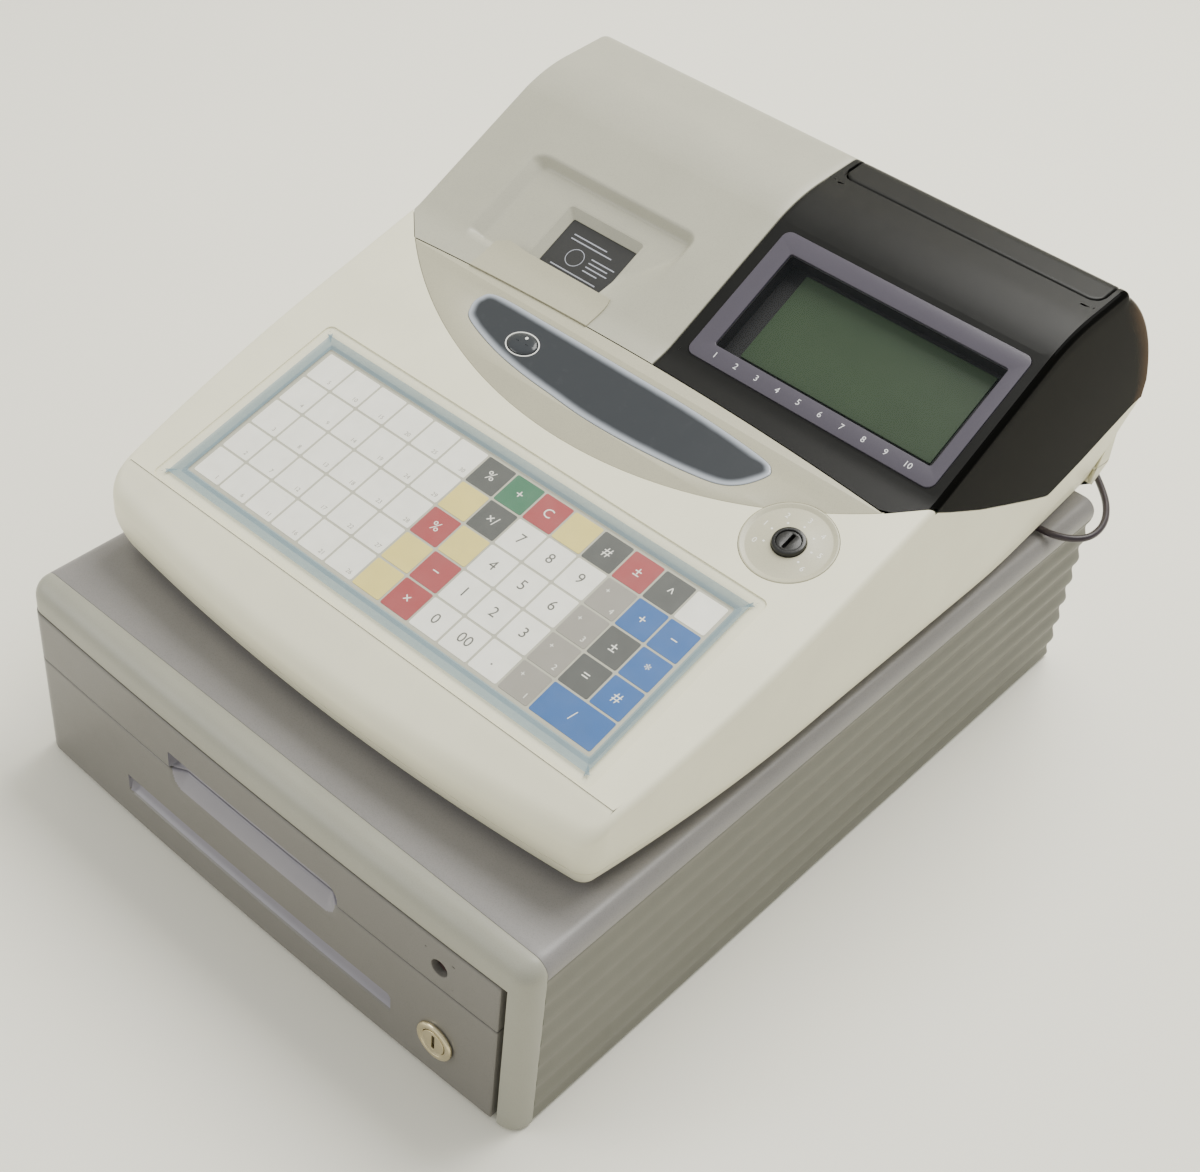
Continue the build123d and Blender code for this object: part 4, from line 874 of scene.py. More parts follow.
SPECIAL_KEYS = (
    "grey:% green:+ red:C yellow: grey:# red:± grey:^ white:",
    "yellow: grey:×/ white:7 white:8 white:9 taupe:4 blue:+ blue:−",
    "red:% yellow: white:4 white:5 white:6 taupe:3 grey:± blue:*",
    "yellow: red:− white:1 white:2 white:3 taupe:2 grey:= blue:#",
    "yellow: red:× white:0 white:00 white:. taupe:1 blue:/",
)
KEY_ROWS: tuple[tuple[tuple[Ink, str], ...], ...] = tuple(
    tuple((Ink.WHITE, str(column * 5 + 5 - row)) for column in range(6))
    + tuple((Ink[key.split(":")[0].upper()], key.split(":")[1]) for key in keys.split())
    for row, keys in enumerate(SPECIAL_KEYS))


@dataclass(frozen=True)
class Keyboard:
    """Flat printed keys under a clear, bevelled wet cover."""

    pitch_u: float = 18.07
    pitch_v: float = 18.4
    columns: int = 14
    gap: float = 1.1
    key_top: float = -2.21
    sheet_top: float = -2.4
    sheet_bottom: float = -2.7
    rim: float = 12.0
    bevel: float = 6.3
    pan: float = -1.7
    rim_top: float = 0.6

    @property
    def half(self) -> float:
        """Half the width of the key field."""
        return self.columns * self.pitch_u / 2

    @property
    def depth(self) -> float:
        """Depth of the key field up the deck."""
        return len(KEY_ROWS) * self.pitch_v

    def frame(self, side: float, low: float, high: float, radius: float, steps: int = 7) -> Array:
        """Rounded loop round the key field, larger than it by side, low and high."""
        return rounded_loop(-self.half - side, self.half + side, -low, self.depth + high, radius, steps)

    def keys(self, palette: Palette) -> None:
        """The printed sheet with every key and its figure.

        Args:
            palette: the finishes.
        """
        draft, figures = Draft(), Lettering()
        Plate(DECK, self.sheet_bottom, self.sheet_top, 0.1).build(
            draft, self.frame(2, 2, 2, 1.0, 5),
            tint=linear(Ink.SHEET.value))
        plate = Plate(DECK, self.sheet_top, self.key_top, 0.12, 3)
        for row, keys in enumerate(KEY_ROWS):
            v0 = (len(KEY_ROWS) - 1 - row) * self.pitch_v
            for column, (ink, text) in enumerate(keys):
                wide = 2 if (row, column) == (len(KEY_ROWS) - 1, len(keys) - 1) else 1
                u0 = -self.half + column * self.pitch_u
                u1 = u0 + wide * self.pitch_u
                loop = rounded_loop(u0 + self.gap / 2, u1 - self.gap / 2, v0 + self.gap / 2,
                                    v0 + self.pitch_v - self.gap / 2, 0.9, 4)
                plate.build(draft, loop, tint=linear(ink.value))
                self.figure(figures, ink, text, column, (u0 + u1) / 2, v0 + self.pitch_v / 2)
        draft.stand_in("key_sheet", "cabinet", palette["key print"], "keys", weld=0.0)
        figures.draft.piece("key_figures", "cabinet", palette["key print"], "keys", ["key_sheet"],
                            weld=0.0)

    def figure(self, figures: Lettering, ink: Ink, text: str, column: int, u: float, v: float) -> None:
        """Draw a key's figure: small in the corner of the left keys, large elsewhere.

        Args:
            figures: the lettering of all keys.
            ink: the key's colour.
            text: the key's figure.
            column: the key's column, from the left.
            u, v: the key's centre.
        """
        w = self.key_top + 0.02
        if column < 6:
            figures.write(text, DECK, u + 4.6, v - 5.4, w, 2.3, linear(Ink.TAUPE.value))
        elif ink is Ink.TAUPE:
            figures.write(text, DECK, u + 4.6, v - 5.0, w, 3.0, linear(Ink.PALE.value))
            figures.write("+", DECK, u - 4.0, v + 2.6, w, 3.0, linear(Ink.PALE.value))
        elif ink is Ink.WHITE and text:
            figures.write(text, DECK, u, v, w, 5.6, linear(Ink.TEXT.value))
        elif text:
            figures.write(text, DECK, u, v, w, 5.2, linear(Ink.PALE.value))

    def cover(self, palette: Palette) -> None:
        """The clear cover: a rim on the deck, a bevel down to the keys and a flat pan.

        Args:
            palette: the finishes.
        """
        outer = self.frame(self.rim, self.rim + 2.2, self.rim - 0.3, 3.5)
        rows = [lift(inset_loop(outer, inset), w) for inset, w in
                ((0.0, -0.7), (0.0, 0.1), (0.25, 0.45), (0.6, self.rim_top), (2.4, self.rim_top + 0.05),
                 (self.rim - self.bevel - 0.8, self.rim_top), (self.rim - self.bevel - 0.3, 0.4))]
        film = Draft()
        film.grid(DECK.place(rows), wrap_cols=True)
        pan = self.frame(1.4, 1.6, 1.2, 1.2)
        pan_ring = lift(pan, self.pan)
        film.fill(DECK, self.pan, pan)
        film.stand_in("wet_cover", "cabinet", palette["wet cover film"], "clear")
        start, finish = rows[-1], pan_ring
        slope = Draft()
        steps = [start + (finish - start) * s + np.array([0, 0, 0.1 * sin(pi * s)]) for s in shares(6)]
        slope.grid(DECK.place(steps), wrap_cols=True)
        slope.piece("wet_cover_bevel", "cabinet", palette["wet cover bevel"], "clear", ["wet_cover"])

    def build(self, palette: Palette) -> None:
        """Make the keys and the cover."""
        self.keys(palette)
        self.cover(palette)


# ------------------------------------------------------------------ mode switch and label
@dataclass(frozen=True)
class ModeSwitch:
    """Round dial with seven marks, a dark barrel and a rotor with a key slot."""

    x: float = 124.6
    y: float = -20.0
    ring: float = 22.4
    disc: float = 19.6
    barrel: float = 7.75
    rotor: float = 5.8
    marks: int = 7

    def build(self, palette: Palette) -> None:
        """Make the dial, its marks, the barrel and the rotor.

        Args:
            palette: the finishes.
        """
        v = DECK.v_of(self.y)
        turned = Turned(DECK, self.x, v)
        dial = Draft()
        turned.build(dial, [(self.ring, -2.8), (self.ring, 0.0), (self.ring - 0.15, 0.25),
                            (self.ring - 0.5, 0.38), (self.ring - 1.0, 0.3), (self.disc + 0.35, -0.5),
                            (self.disc, -0.62), (self.disc - 0.2, -0.6), (self.barrel + 1.3, -0.6),
                            (self.barrel + 1.0, -0.5), (self.barrel + 0.5, -0.5),
                            (self.barrel + 0.15, -0.8), (self.barrel + 0.1, -2.8)])
        dial.stand_in("switch_dial", "cabinet", palette["dial ring"], "ivory")
        figures = Lettering()
        for k, angle in enumerate(np.linspace(radians(210), radians(-30), self.marks)):
            across, along = cos(angle), sin(angle)
            figures.write(str(k), DECK, self.x + 15.4 * across, v + 15.4 * along, -0.58, 2.9,
                          linear("F4F3EC"))
            dot = oval_loop(self.x + 11.2 * across, v + 11.2 * along, 0.55, 0.55, 12)
            start = figures.draft.add(DECK.at(dot, -0.58))
            figures.draft.faces.append(tuple(range(start, start + len(dot))))
        figures.draft.piece("dial_marks", "cabinet", palette["key print"], "ivory", ["switch_dial"],
                            weld=0.0)
        barrel = Draft()
        turned.build(barrel, [(self.barrel, -2.8), (self.barrel, 1.0), (self.barrel - 0.2, 1.4),
                              (self.barrel - 0.7, 1.6), (self.rotor + 0.4, 1.6),
                              (self.rotor + 0.1, 1.3), (self.rotor + 0.06, -1.0)])
        barrel.stand_in("switch_barrel", "cabinet", palette["switch black"], "nickel")
        rotor = Draft()
        Plate(DECK, -4.0, 1.0, 0.35).build(rotor, oval_loop(self.x, v, self.rotor, self.rotor),
                [rounded_loop(self.x - 0.8, self.x + 0.8, v - 4.3, v + 4.3, 0.3, 3)])
        floor = rounded_loop(self.x - 2, self.x + 2, v - 5, v + 5, 0.3, 3)
        rotor.fill(DECK, -3.5, floor)
        rotor.stand_in("switch_rotor", "rotor", palette["switch black"], "nickel")


@dataclass(frozen=True)
class LabelAndButton:
    """Dark label lens with a paler rim, and the oval button in it."""

    outline: tuple[Pair, ...] = ((-84.0, -7.6), (-90.0, -1.6), (-91.0, 6.0), (-84.0, 11.9),
            (-50.0, 12.6), (0.0, 12.6), (45.0, 12.2), (84.0, 9.4), (93.0, 6.0), (93.0, 0.8),
            (87.0, -8.3), (78.0, -13.8), (62.0, -16.9), (43.0, -19.0), (22.0, -20.4), (0.7, -20.6),
            (-20.0, -19.2), (-40.7, -17.6), (-62.0, -14.2))
    button: Pair = (-52.0, -4.3)
    button_half: Pair = (8.25, 6.5)
    halo: float = 4.2
    top: float = 0.4

    def loop(self) -> Array:
        """Outline on the deck, as an anticlockwise loop of (u, v) points."""
        loop = spline_loop([(x, DECK.v_of(y)) for x, y in self.outline])
        ahead = np.roll(loop, -1, axis=0)
        area = float(np.sum(loop[:, 0] * ahead[:, 1] - ahead[:, 0] * loop[:, 1]))
        return loop if area > 0 else loop[::-1]

    def drawn_in(self, loop: Array, distance: float) -> Array:
        """Move each point by a distance towards the nearest point of the lens's middle line.

        Args:
            loop: array of (u, v) rows.
            distance: how far they move.

        Returns:
            The moved loop.
        """
        u = np.clip(loop[:, 0], -78.0, 80.0)
        v = DECK.v_of(0.0) - 5.0 + 7.0 * (u / 80.0) ** 2
        away = stack(u, v) - loop
        return loop + away / np.linalg.norm(away, axis=1, keepdims=True) * distance

    def build(self, palette: Palette) -> None:
        """Make the lens, the button, its printed ring and its lamp.

        Args:
            palette: the finishes.
        """
        u, v = self.button[0], DECK.v_of(self.button[1])
        half_u, half_v = self.button_half
        outline = self.loop()
        lens = Draft()
        rows, shades = [], []
        for inset, w in ((0.0, -0.4), (0.0, 0.1), (0.15, 0.3), (0.4, self.top), (1.2, self.top),
                         (2.2, self.top), (3.2, self.top), (self.halo, self.top)):
            rows.append(lift(self.drawn_in(outline, inset), w))
            shades.append(float(smooth_step(np.array(inset), self.halo, 0.3)))
        for low, high, a, b in zip(rows, rows[1:], shades, shades[1:]):
            tints = np.repeat([[a, a, a, 1.0], [b, b, b, 1.0]], len(low), axis=0)
            lens.grid(DECK.place([low, high]), wrap_cols=True, tints=tints)
        hole = oval_loop(u, v, half_u + 0.3, half_v + 0.3)
        lens.tint = (0, 0, 0, 1)
        lens.fill(DECK, self.top, rows[-1][:, :2], hole)
        lens.grid(DECK.place([lift(hole, -1.5), lift(hole, self.top)]), wrap_cols=True, flip=True)
        lens.stand_in("label_lens", "cabinet", palette["label graphite"], "graphite")
        ring = Draft()
        Plate(DECK, self.top - 0.1, self.top + 0.08, 0.05, 3).build(ring,
                oval_loop(u, v, half_u + 1.0, half_v + 1.0),
                [oval_loop(u, v, half_u + 0.35, half_v + 0.35)])
        ring.piece("button_ring", "cabinet", palette["printed mark"], "graphite", ["label_lens"])
        cap = Draft()
        rows = [lift(inset_loop(oval_loop(u, v, half_u, half_v), inset), w) for inset, w in
                ((0.0, -3.5), (0.0, 0.4), (0.2, 0.8), (0.8, 1.15), (2.0, 1.4), (4.0, 1.55), (6.0, 1.6))]
        cap.grid(DECK.place(rows), wrap_cols=True)
        cap.fill(DECK, 1.6, rows[-1][:, :2])
        cap.stand_in("ticket_button", "button", palette["label graphite"], "graphite")
        lamp = Draft()
        Plate(DECK, 1.3, 1.62, 0.1).build(lamp, oval_loop(u, v + 3.4, 0.9, 0.9, 24))
        lamp.piece("button_lamp", "button", palette["printed mark"], "graphite", ["ticket_button"])


# ------------------------------------------------------------------ operator display
@dataclass(frozen=True)
class OperatorDisplay:
    """Bezel, glass and liquid crystal panel on the slope."""

    bezel: Box = (14.5, 157.0, 37.3, 108.7)
    window: Box = (24.8, 150.1, 46.2, 99.4)
    crystal: Box = (34.5, 145.0, 50.5, 97.5)
    well: float = -10.0
    marks: int = 10

    def loop(self, box: Box, radius: float, grow: float = 0.0) -> Array:
        """Rounded rectangle on the slope from plan bounds."""
        x0, x1, y0, y1 = box
        return rounded_loop(x0 - grow, x1 + grow, SLOPE.v_of(y0) - grow, SLOPE.v_of(y1) + grow, radius,
                            7)

    def build(self, palette: Palette) -> None:
        """Make the bezel with its row of figures, the glass and the panel in its well.

        Args:
            palette: the finishes.
        """
        frame = Draft()
        Plate(SLOPE, -1.2, 0.6, 0.35, 5).build(frame, self.loop(self.bezel, 4.5),
                [self.loop(self.window, 1.5)])
        frame.stand_in("display_bezel", "cabinet", palette["bezel lilac grey"], "bezel_grey")
        figures = Lettering()
        for k, x in enumerate(np.linspace(29.0, 141.0, self.marks)):
            figures.write(str(k + 1), SLOPE, x, SLOPE.v_of(41.9), 0.63, 3.2, linear("E6E6EA"))
        figures.draft.piece("bezel_figures", "cabinet", palette["key print"], "bezel_grey",
                            ["display_bezel"], weld=0.0)
        glass = Draft()
        edge = self.loop(self.window, 1.5, -0.1)
        glass.fill(SLOPE, 0.35, edge)
        glass.stand_in("display_window", "cabinet", palette["display glass"], "clear")
        well, rim = Draft(), self.loop(self.window, 1.5, 0.1)
        rows = [lift(rim, -1.6), lift(rim, self.well)]
        well.grid(SLOPE.place(rows), wrap_cols=True)
        well.fill(SLOPE, self.well, rim)
        well.piece("display_well", "cabinet", palette["dark inside"], "lcd", ["lcd_module"])
        crystal = Draft()
        Plate(SLOPE, self.well, self.well + 1.2, 0.2).build(crystal, self.loop(self.crystal, 0.6))
        crystal.stand_in("lcd_module", "cabinet", palette["liquid crystal"], "lcd")


# ------------------------------------------------------------------ register case
def arc_points(start: Sequence[float], middle: Sequence[float], end: Sequence[float],
               count: int) -> Array:
    """Points on the circle through three points.

    The centre (cx, cy) solves |p - c| equal for all three; the points are c + r (cos t, sin t).

    Args:
        start, middle, end: points of the arc, in its order.
        count: how many points to give.

    Returns:
        Array of (u, v) rows.
    """
    (ax, ay), (bx, by), (cx, cy) = start, middle, end
    d = 2 * (ax * (by - cy) + bx * (cy - ay) + cx * (ay - by))
    a2, b2, c2 = ax * ax + ay * ay, bx * bx + by * by, cx * cx + cy * cy
    ox = (a2 * (by - cy) + b2 * (cy - ay) + c2 * (ay - by)) / d
    oy = (a2 * (cx - bx) + b2 * (ax - cx) + c2 * (bx - ax)) / d
    t0, t1, t2 = (atan2(p[1] - oy, p[0] - ox) for p in (start, middle, end))
    sweep, to_middle = (t2 - t0) % (2 * pi), (t1 - t0) % (2 * pi)
    t = np.linspace(t0, t0 + sweep - (2 * pi if to_middle > sweep else 0), count)
    r = hypot(ax - ox, ay - oy)
    return stack(ox + r * np.cos(t), oy + r * np.sin(t))


class RegisterForm:
    """Measures that the shells of the register case share, in millimetres."""

    half = 165.0
    bottom = 119.6
    seam = 129.0
    widest = 140.0
    deck_end = 33.3
    hood_front = 22.5
    hood_tip = 148.0
    rear = 238.0
    rear_round = 8.0
    rear_level = 130.0
    rear_lean = tan(radians(3.8))
    hood_bow = 6.0
    split = 6.9
    turn_in = 6.2
    turn_height = 20.4
    facet_start = 30.0
    facet_back = 0.0641
    facet_rise = 0.2193
    facet_blend = 1.2
    arc_centre = 196.7
    arc_radius = 233.0
    hood_line = ((31.5, 214.9), (34.0, 214.2), (47.0, 207.0), (78.0, 190.9), (99.0, 181.3),
                 (132.0, 166.4), (148.0, 159.6), (151.0, 158.8), (154.0, 159.3), (179.6, 165.3),
                 (200.0, 171.2), (225.0, 178.0), (240.0, 179.2))

    def __init__(self) -> None:
        """Work out the profile of the register's top, from front to rear."""
        slope = [(y, SLOPE.height(y)) for y in np.linspace(38.0, 108.0, 24)]
        corner = (self.deck_end, SLOPE.height(self.deck_end))
        low, high = (28.5, DECK.height(28.5)), slope[0]
        low, corner, high = np.array([low, corner, high])
        crease = [tuple((1 - t) ** 2 * low + 2 * t * (1 - t) * corner + t * t * high)
                  for t in shares(7)]
        deck = [(y, DECK.height(y)) for y in (-20.0, 0.0, 14.0, 20.0, 24.0)]
        crown = arc_points((111.9, 259.0), (127.5, 264.6), (145.0, 267.2), 12)
        ridge = arc_points((170.0, 269.0), (175.2, 267.6), (178.0, 264.0), 9)
        back = arc_points((178.0, 264.0), (216.5, 225.0), (234.0, 190.0), 26)
        rows = deck + crease + slope[1:] + list(map(tuple, crown)) + list(map(tuple, ridge)) \
            + list(map(tuple, back[1:])) + [(234.35, 185.0), (234.75, 179.0)]
        self.profile = np.array(rows)

    def height(self, y: Array) -> Array:
        """Height of the register's top at plan depth y, by linear steps along the profile."""
        return np.interp(y, self.profile[:, 0], self.profile[:, 1])

    def normal(self, y: Array) -> tuple[Array, Array]:
        """Unit normal (ny, nz) of the profile: (-z', 1) / sqrt(1 + z'^2).

        Args:
            y: plan depths.

        Returns:
            The two parts of the normal at each depth.
        """
        step = 0.6
        rise = (self.height(y + step) - self.height(y - step)) / (2 * step)
        length = np.sqrt(1 + rise ** 2)
        return -rise / length, 1 / length

    def skin(self, x: Array, y: Array, sink: Array | float) -> Array:
        """Surface points: (x, y - sink ny, z - sink nz)."""
        ny, nz = self.normal(y)
        return stack(x, y - sink * ny, self.height(y) - sink * nz)

    def front_edge(self, x: Array) -> Array:
        """Plan depth of the hoods' front edge: front - bow (x / tip)^2, then back along the corner."""
        middle = self.hood_front - self.hood_bow * (x / self.hood_tip) ** 2
        outside = self.hood_front - self.hood_bow + (np.abs(x) - self.hood_tip) * 0.93
        return np.where(np.abs(x) < self.hood_tip, middle, outside)

    def line(self, y: Array) -> Array:
        """Height of the hoods' lower edge on the case's side."""
        pairs = np.array(self.hood_line)
        return np.interp(y, pairs[:, 0], pairs[:, 1])

    def side_inset(self, y: Array, z: Array) -> Array:
        """How far the side wall stands in from the case's half width.

        Below the widest level it turns in by turn_in ((widest - z) / turn_height)^1.5. Further back
        a lower facet cuts it, at facet_back (y - facet_start) - facet_rise (z - bottom).

        Args:
            y: plan depths.
            z: heights.

        Returns:
            The inset at each point.
        """
        turn = self.turn_in * (np.clip(self.widest - z, 0, None) / self.turn_height) ** 1.5
        facet = self.facet_back * (y - self.facet_start) - self.facet_rise * (z - self.bottom)
        both = np.maximum(turn, facet)
        close = np.clip(self.facet_blend - np.abs(turn - facet), 0, None)
        return both + close ** 2 / (4 * self.facet_blend) * (facet > -1)

    def outline(self) -> Array:
        """Plan outline at the widest level, from the rear left round the front to the rear right."""
        corner, side = (155.0, -178.5), (165.0, -20.0)
        bulge = ((corner[0] + side[0]) / 2 + 3.0, (corner[1] + side[1]) / 2)
        flank = arc_points(corner, bulge, side, 40)
        nose = arc_points((-corner[0], corner[1]), (0.0, -189.0), corner, 61)
        front = self.round_corner(nose, flank, 13.0)
        straight = [(self.half, y) for y in (-10.0, 0.0, 10.0, 18.0, 24.0, 28.0, 31.5)]
        right = join(front, np.array(straight))
        return join(right[::-1] * MIRROR, right)

    def rear_outline(self, side: Side) -> Array:
        """Plan outline behind the deck on one side, up to the flat of the rear wall.

        Args:
            side: left or right.

        Returns:
            Array of (x, y) rows, front to rear.
        """
        ys = sorted({31.5, 34.0, 40.0, 47.0, *np.arange(52.0, 228.0, 6.0), 148.0, 151.0, 154.0, 230.0})
        straight = [(self.half, y) for y in ys]
        radius = self.rear_round
        centre = (self.half - radius, self.rear - radius)
        bend = [(centre[0] + radius * cos(t), centre[1] + radius * sin(t)) for t in quarter(10)[1:]]
        return np.array(straight + bend) * np.array([side.value, 1.0])

    def round_corner(self, nose: Array, flank: Array, radius: float) -> Array:
        """Right half of the outline with its front corner rounded by a tangent arc.

        Args:
            nose: the front's (x, y) rows.
            flank: the side's rows.
            radius: the arc's radius.

        Returns:
            Array of (x, y) rows, nose to flank.
        """
        nose = nose[nose[:, 0] > 0.5]
        tangent_in = nose[-1] - nose[-2]
        tangent_out = flank[1] - flank[0]
        tangent_in, tangent_out = (t / np.linalg.norm(t) for t in (tangent_in, tangent_out))
        half_turn = acos(float(np.clip(tangent_in @ tangent_out, -1, 1))) / 2
        reach = radius * tan(half_turn)
        start, end = flank[0] - tangent_in * reach, flank[0] + tangent_out * reach
        inward = np.array([-tangent_in[1], tangent_in[0]])
        centre = start + inward * radius
        a0 = atan2(*(start - centre)[::-1])
        a1 = atan2(*(end - centre)[::-1])
        t = np.linspace(a0, a1, 15)
        arc = centre + radius * stack(np.cos(t), np.sin(t))
        near = nose[nose[:, 0] < start[0] - 1.0]
        far = flank[flank[:, 1] > end[1] + 1.0]
        return join(near, arc, far)


@dataclass(frozen=True)
class CaseShell:
    """Ivory upper and lower case: walls, nose, deck and rear wall."""

    form: RegisterForm
    nose_y: float = -164.0
    nose_z: float = 146.5
    nose_front: float = -189.0
    side_edge: float = 3.4
    front_edge: float = 6.5
    gap: float = 0.22
    wall_levels: int = 16
    skirt_levels: int = 8
    dial: Triple = (124.6, -20.0, 22.65)

    def top(self, y: Array) -> Array:
        """Deck and nose joined softly: min(a, b) - (k - |a - b|)^2 / 4k while |a - b| < k."""
        fall = (DECK.height(self.nose_y) - self.nose_z) / (self.nose_y - self.nose_front)
        deck, nose, k = DECK.height(y), self.nose_z + (y - self.nose_front) * fall, 1.4
        return np.minimum(deck, nose) - np.clip(k - np.abs(deck - nose), 0, None) ** 2 / (4 * k)

    def walls(self, path: Array, normals: Array, low: float, high: Array, levels: int) -> Array:
        """Wall points: rows along the path, columns from the low level to each row's high level.

        Args:
            path: array of (x, y) rows.
            normals: inward normals of the path.
            low: the lowest level.
            high: the highest level of each row.
            levels: how many levels to give.

        Returns:
            Array of rows by levels by 3.
        """
        z = between(low, high, levels).T
        inset = self.form.side_inset(path[:, 1:2], z)
        x = path[:, 0:1] + normals[:, 0:1] * inset
        y = path[:, 1:2] + normals[:, 1:2] * inset
        return stack(x, y, z)

    def rounded_edge(self, path: Array, normals: Array) -> Array:
        """Rings of the deck's rounded edge: inset e (1 - cos t), height top - e (1 - sin t).

        Args:
            path: array of (x, y) rows.
            normals: inward normals of the path.

        Returns:
            Array of rows by rings by 3.
        """
        edge = self.side_edge + (self.front_edge - self.side_edge) * np.abs(normals[:, 1]) ** 1.5
        rings = []
        for t in quarter(8):
            place = path + normals * (edge * (1 - cos(t)))[:, None]
            limit = self.form.front_edge(place[:, 0]) - self.gap
            y = np.where(np.abs(place[:, 0]) > self.form.hood_tip, np.minimum(place[:, 1], limit),
                         place[:, 1])
            rings.append(stack(place[:, 0], y, self.top(y) - edge * (1 - sin(t))))
        return np.array(rings).transpose(1, 0, 2)

    def arc_path(self, radius: float, dial_front: bool) -> Array:
        """Trim arc from left to right in (u, v), led round the dial's front or rear side.

        Args:
            radius: the arc's radius in plan.
            dial_front: pass the dial on its front side.

        Returns:
            Array of (u, v) rows.
        """
        x = np.linspace(-self.form.hood_tip, self.form.hood_tip, 161)
        y = self.form.arc_centre - np.sqrt(radius ** 2 - x ** 2)
        path = stack(x, DECK.v_of(y))
        centre = np.array([self.dial[0], DECK.v_of(self.dial[1])])
        reach = self.dial[2]
        inside = np.linalg.norm(path - centre, axis=1) < reach
        first, last = int(np.argmax(inside)), len(path) - 1 - int(np.argmax(inside[::-1]))
        start, end = path[first] - centre, path[last] - centre
        a0, a1 = atan2(start[1], start[0]), atan2(end[1], end[0])
        if dial_front:
            a1 += 2 * pi if a1 < a0 else 0
        else:
            a1 -= 2 * pi if a1 > a0 else 0
        t = np.linspace(a0, a1, 40)
        turn = centre + reach * stack(np.cos(t), np.sin(t))
        return join(path[:first], turn, path[last + 1:])

    def deck(self, draft: Draft, ring: Array) -> None:
        """Nose strip and flat deck inside the rounded edge, with the keyboard's recess.

        Args:
            draft: where it goes.
            ring: the innermost ring of the rounded edge.
        """
        front = ring[ring[:, 1] < self.nose_y]
        y = between(front[:, 1], self.nose_y, 7)
        strip = stack(front[:, 0], y, self.top(y))
        draft.grid(strip[::-1])
        right = ring[(ring[:, 1] >= self.nose_y) & (ring[:, 0] > 0)]
        left = ring[(ring[:, 1] >= self.nose_y) & (ring[:, 0] < 0)]
        arc = self.arc_path(self.form.arc_radius + self.gap / 2, True)[::-1]
        side_x = np.linspace(right[-1, 0], self.form.hood_tip + 0.3, 9)[1:]
        corner = stack(side_x, DECK.v_of(self.form.front_edge(side_x) - self.gap))
        flat = join(self.flatten(strip[-1]), self.flatten(right), corner, arc, corner[::-1] * MIRROR,
                    self.flatten(left))
        board = Keyboard()
        outer = board.frame(12.3, 14.5, 12.0, 3.8)
        inner = board.frame(3, 3, 3, 1.0)
        draft.fill(DECK, 0.0, flat, outer)
        shelf = board.frame(7.6, 8.4, 7.4, 2.0)
        rows = [lift(outer, 0.0), lift(outer, -0.8), lift(shelf, -0.8), lift(inner, -2.9),
                lift(inner, -4.4)]
        draft.grid(DECK.place(rows), wrap_cols=True, flip=True)
        back = join(corner[-1:], arc, corner[-1:] * MIRROR)
        draft.grid(DECK.place([lift(back, 0.0), lift(back, -2.2)]))

    def flatten(self, points: Array) -> Array:
        """Plan points as (u, v) on the deck."""
        return stack(points[:, 0], DECK.v_of(points[:, 1]))

    def leaning(self, points: Array) -> Array:
        """Points (x, height above the rear level) on the leaning rear wall."""
        depth = self.form.rear - points[:, 1] * self.form.rear_lean
        return stack(points[:, 0], depth, self.form.rear_level + points[:, 1])

    def rear_wall(self, draft: Draft, low: float) -> None:
        """Flat rear wall between the rear corners, with the mains inlet's hole.

        Args:
            draft: where it goes.
            low: the level of its lower edge.
        """
        half = self.form.half - self.form.rear_round
        top = float(self.form.line(235.0)) - self.gap
        low, top = low - self.form.rear_level, top - self.form.rear_level
        outline = np.array([(-half, low), (half, low), (half, top), (-half, top)])
        hole = rounded_loop(50.8, 69.2, 8.8, 23.2, 0.4, 3)
        draft.cap([self.leaning(outline), self.leaning(hole)], [outline, hole])

    def flank(self, draft: Draft, side: Side, columns: Array, depth: Array, end: Array) -> None:
        """Wall behind the deck on one side, and a strip from its end to the flat rear wall.

        Args:
            draft: where it goes.
            side: left or right.
            columns: the wall's points, rows along the path.
            depth: plan depth of the flat wall at each point of the end.
            end: the last column of points of the rounded rear corner.
        """
        draft.grid(columns, flip=side is Side.LEFT)
        edge = side.value * (self.form.half - self.form.rear_round)
        draft.grid([end, stack(edge, depth, end[:, 2])], flip=side is Side.LEFT)

    def upper(self, palette: Palette) -> None:
        """Upper case: walls above the seam, the deck and the leaning rear wall.

        Args:
            palette: the finishes.
        """
        path, draft = self.form.outline(), Draft()
        normals = left_normals(path)
        rings = self.rounded_edge(path, normals)
        low = self.form.seam + self.gap
        draft.grid(join(self.seam_edge(path, normals, low), self.walls(path, normals, low,
                rings[:, 0, 2], self.wall_levels), rings[:, 1:], axis=1))
        self.deck(draft, rings[:, -1])
        for side in Side:
            rear = self.form.rear_outline(side)
            inner = left_normals(rear) * side.value
            high = np.minimum(self.form.line(rear[:, 1]) - self.gap, self.top(rear[:, 1])
                              - self.side_edge)
            wall = self.walls(rear, inner, low, high, self.wall_levels)
            lip = wall[:, -1] + lift(inner * 2.0, -0.2)
            depth = self.form.rear - (wall[-1, :, 2] - self.form.rear_level) * self.form.rear_lean
            columns = join(self.seam_edge(rear, inner, low), wall, lip[:, None], axis=1)
            self.flank(draft, side, columns, depth, wall[-1])
        self.rear_wall(draft, low)
        draft.stand_in("upper_case", "cabinet", palette["ivory case"], "ivory", outward=True)

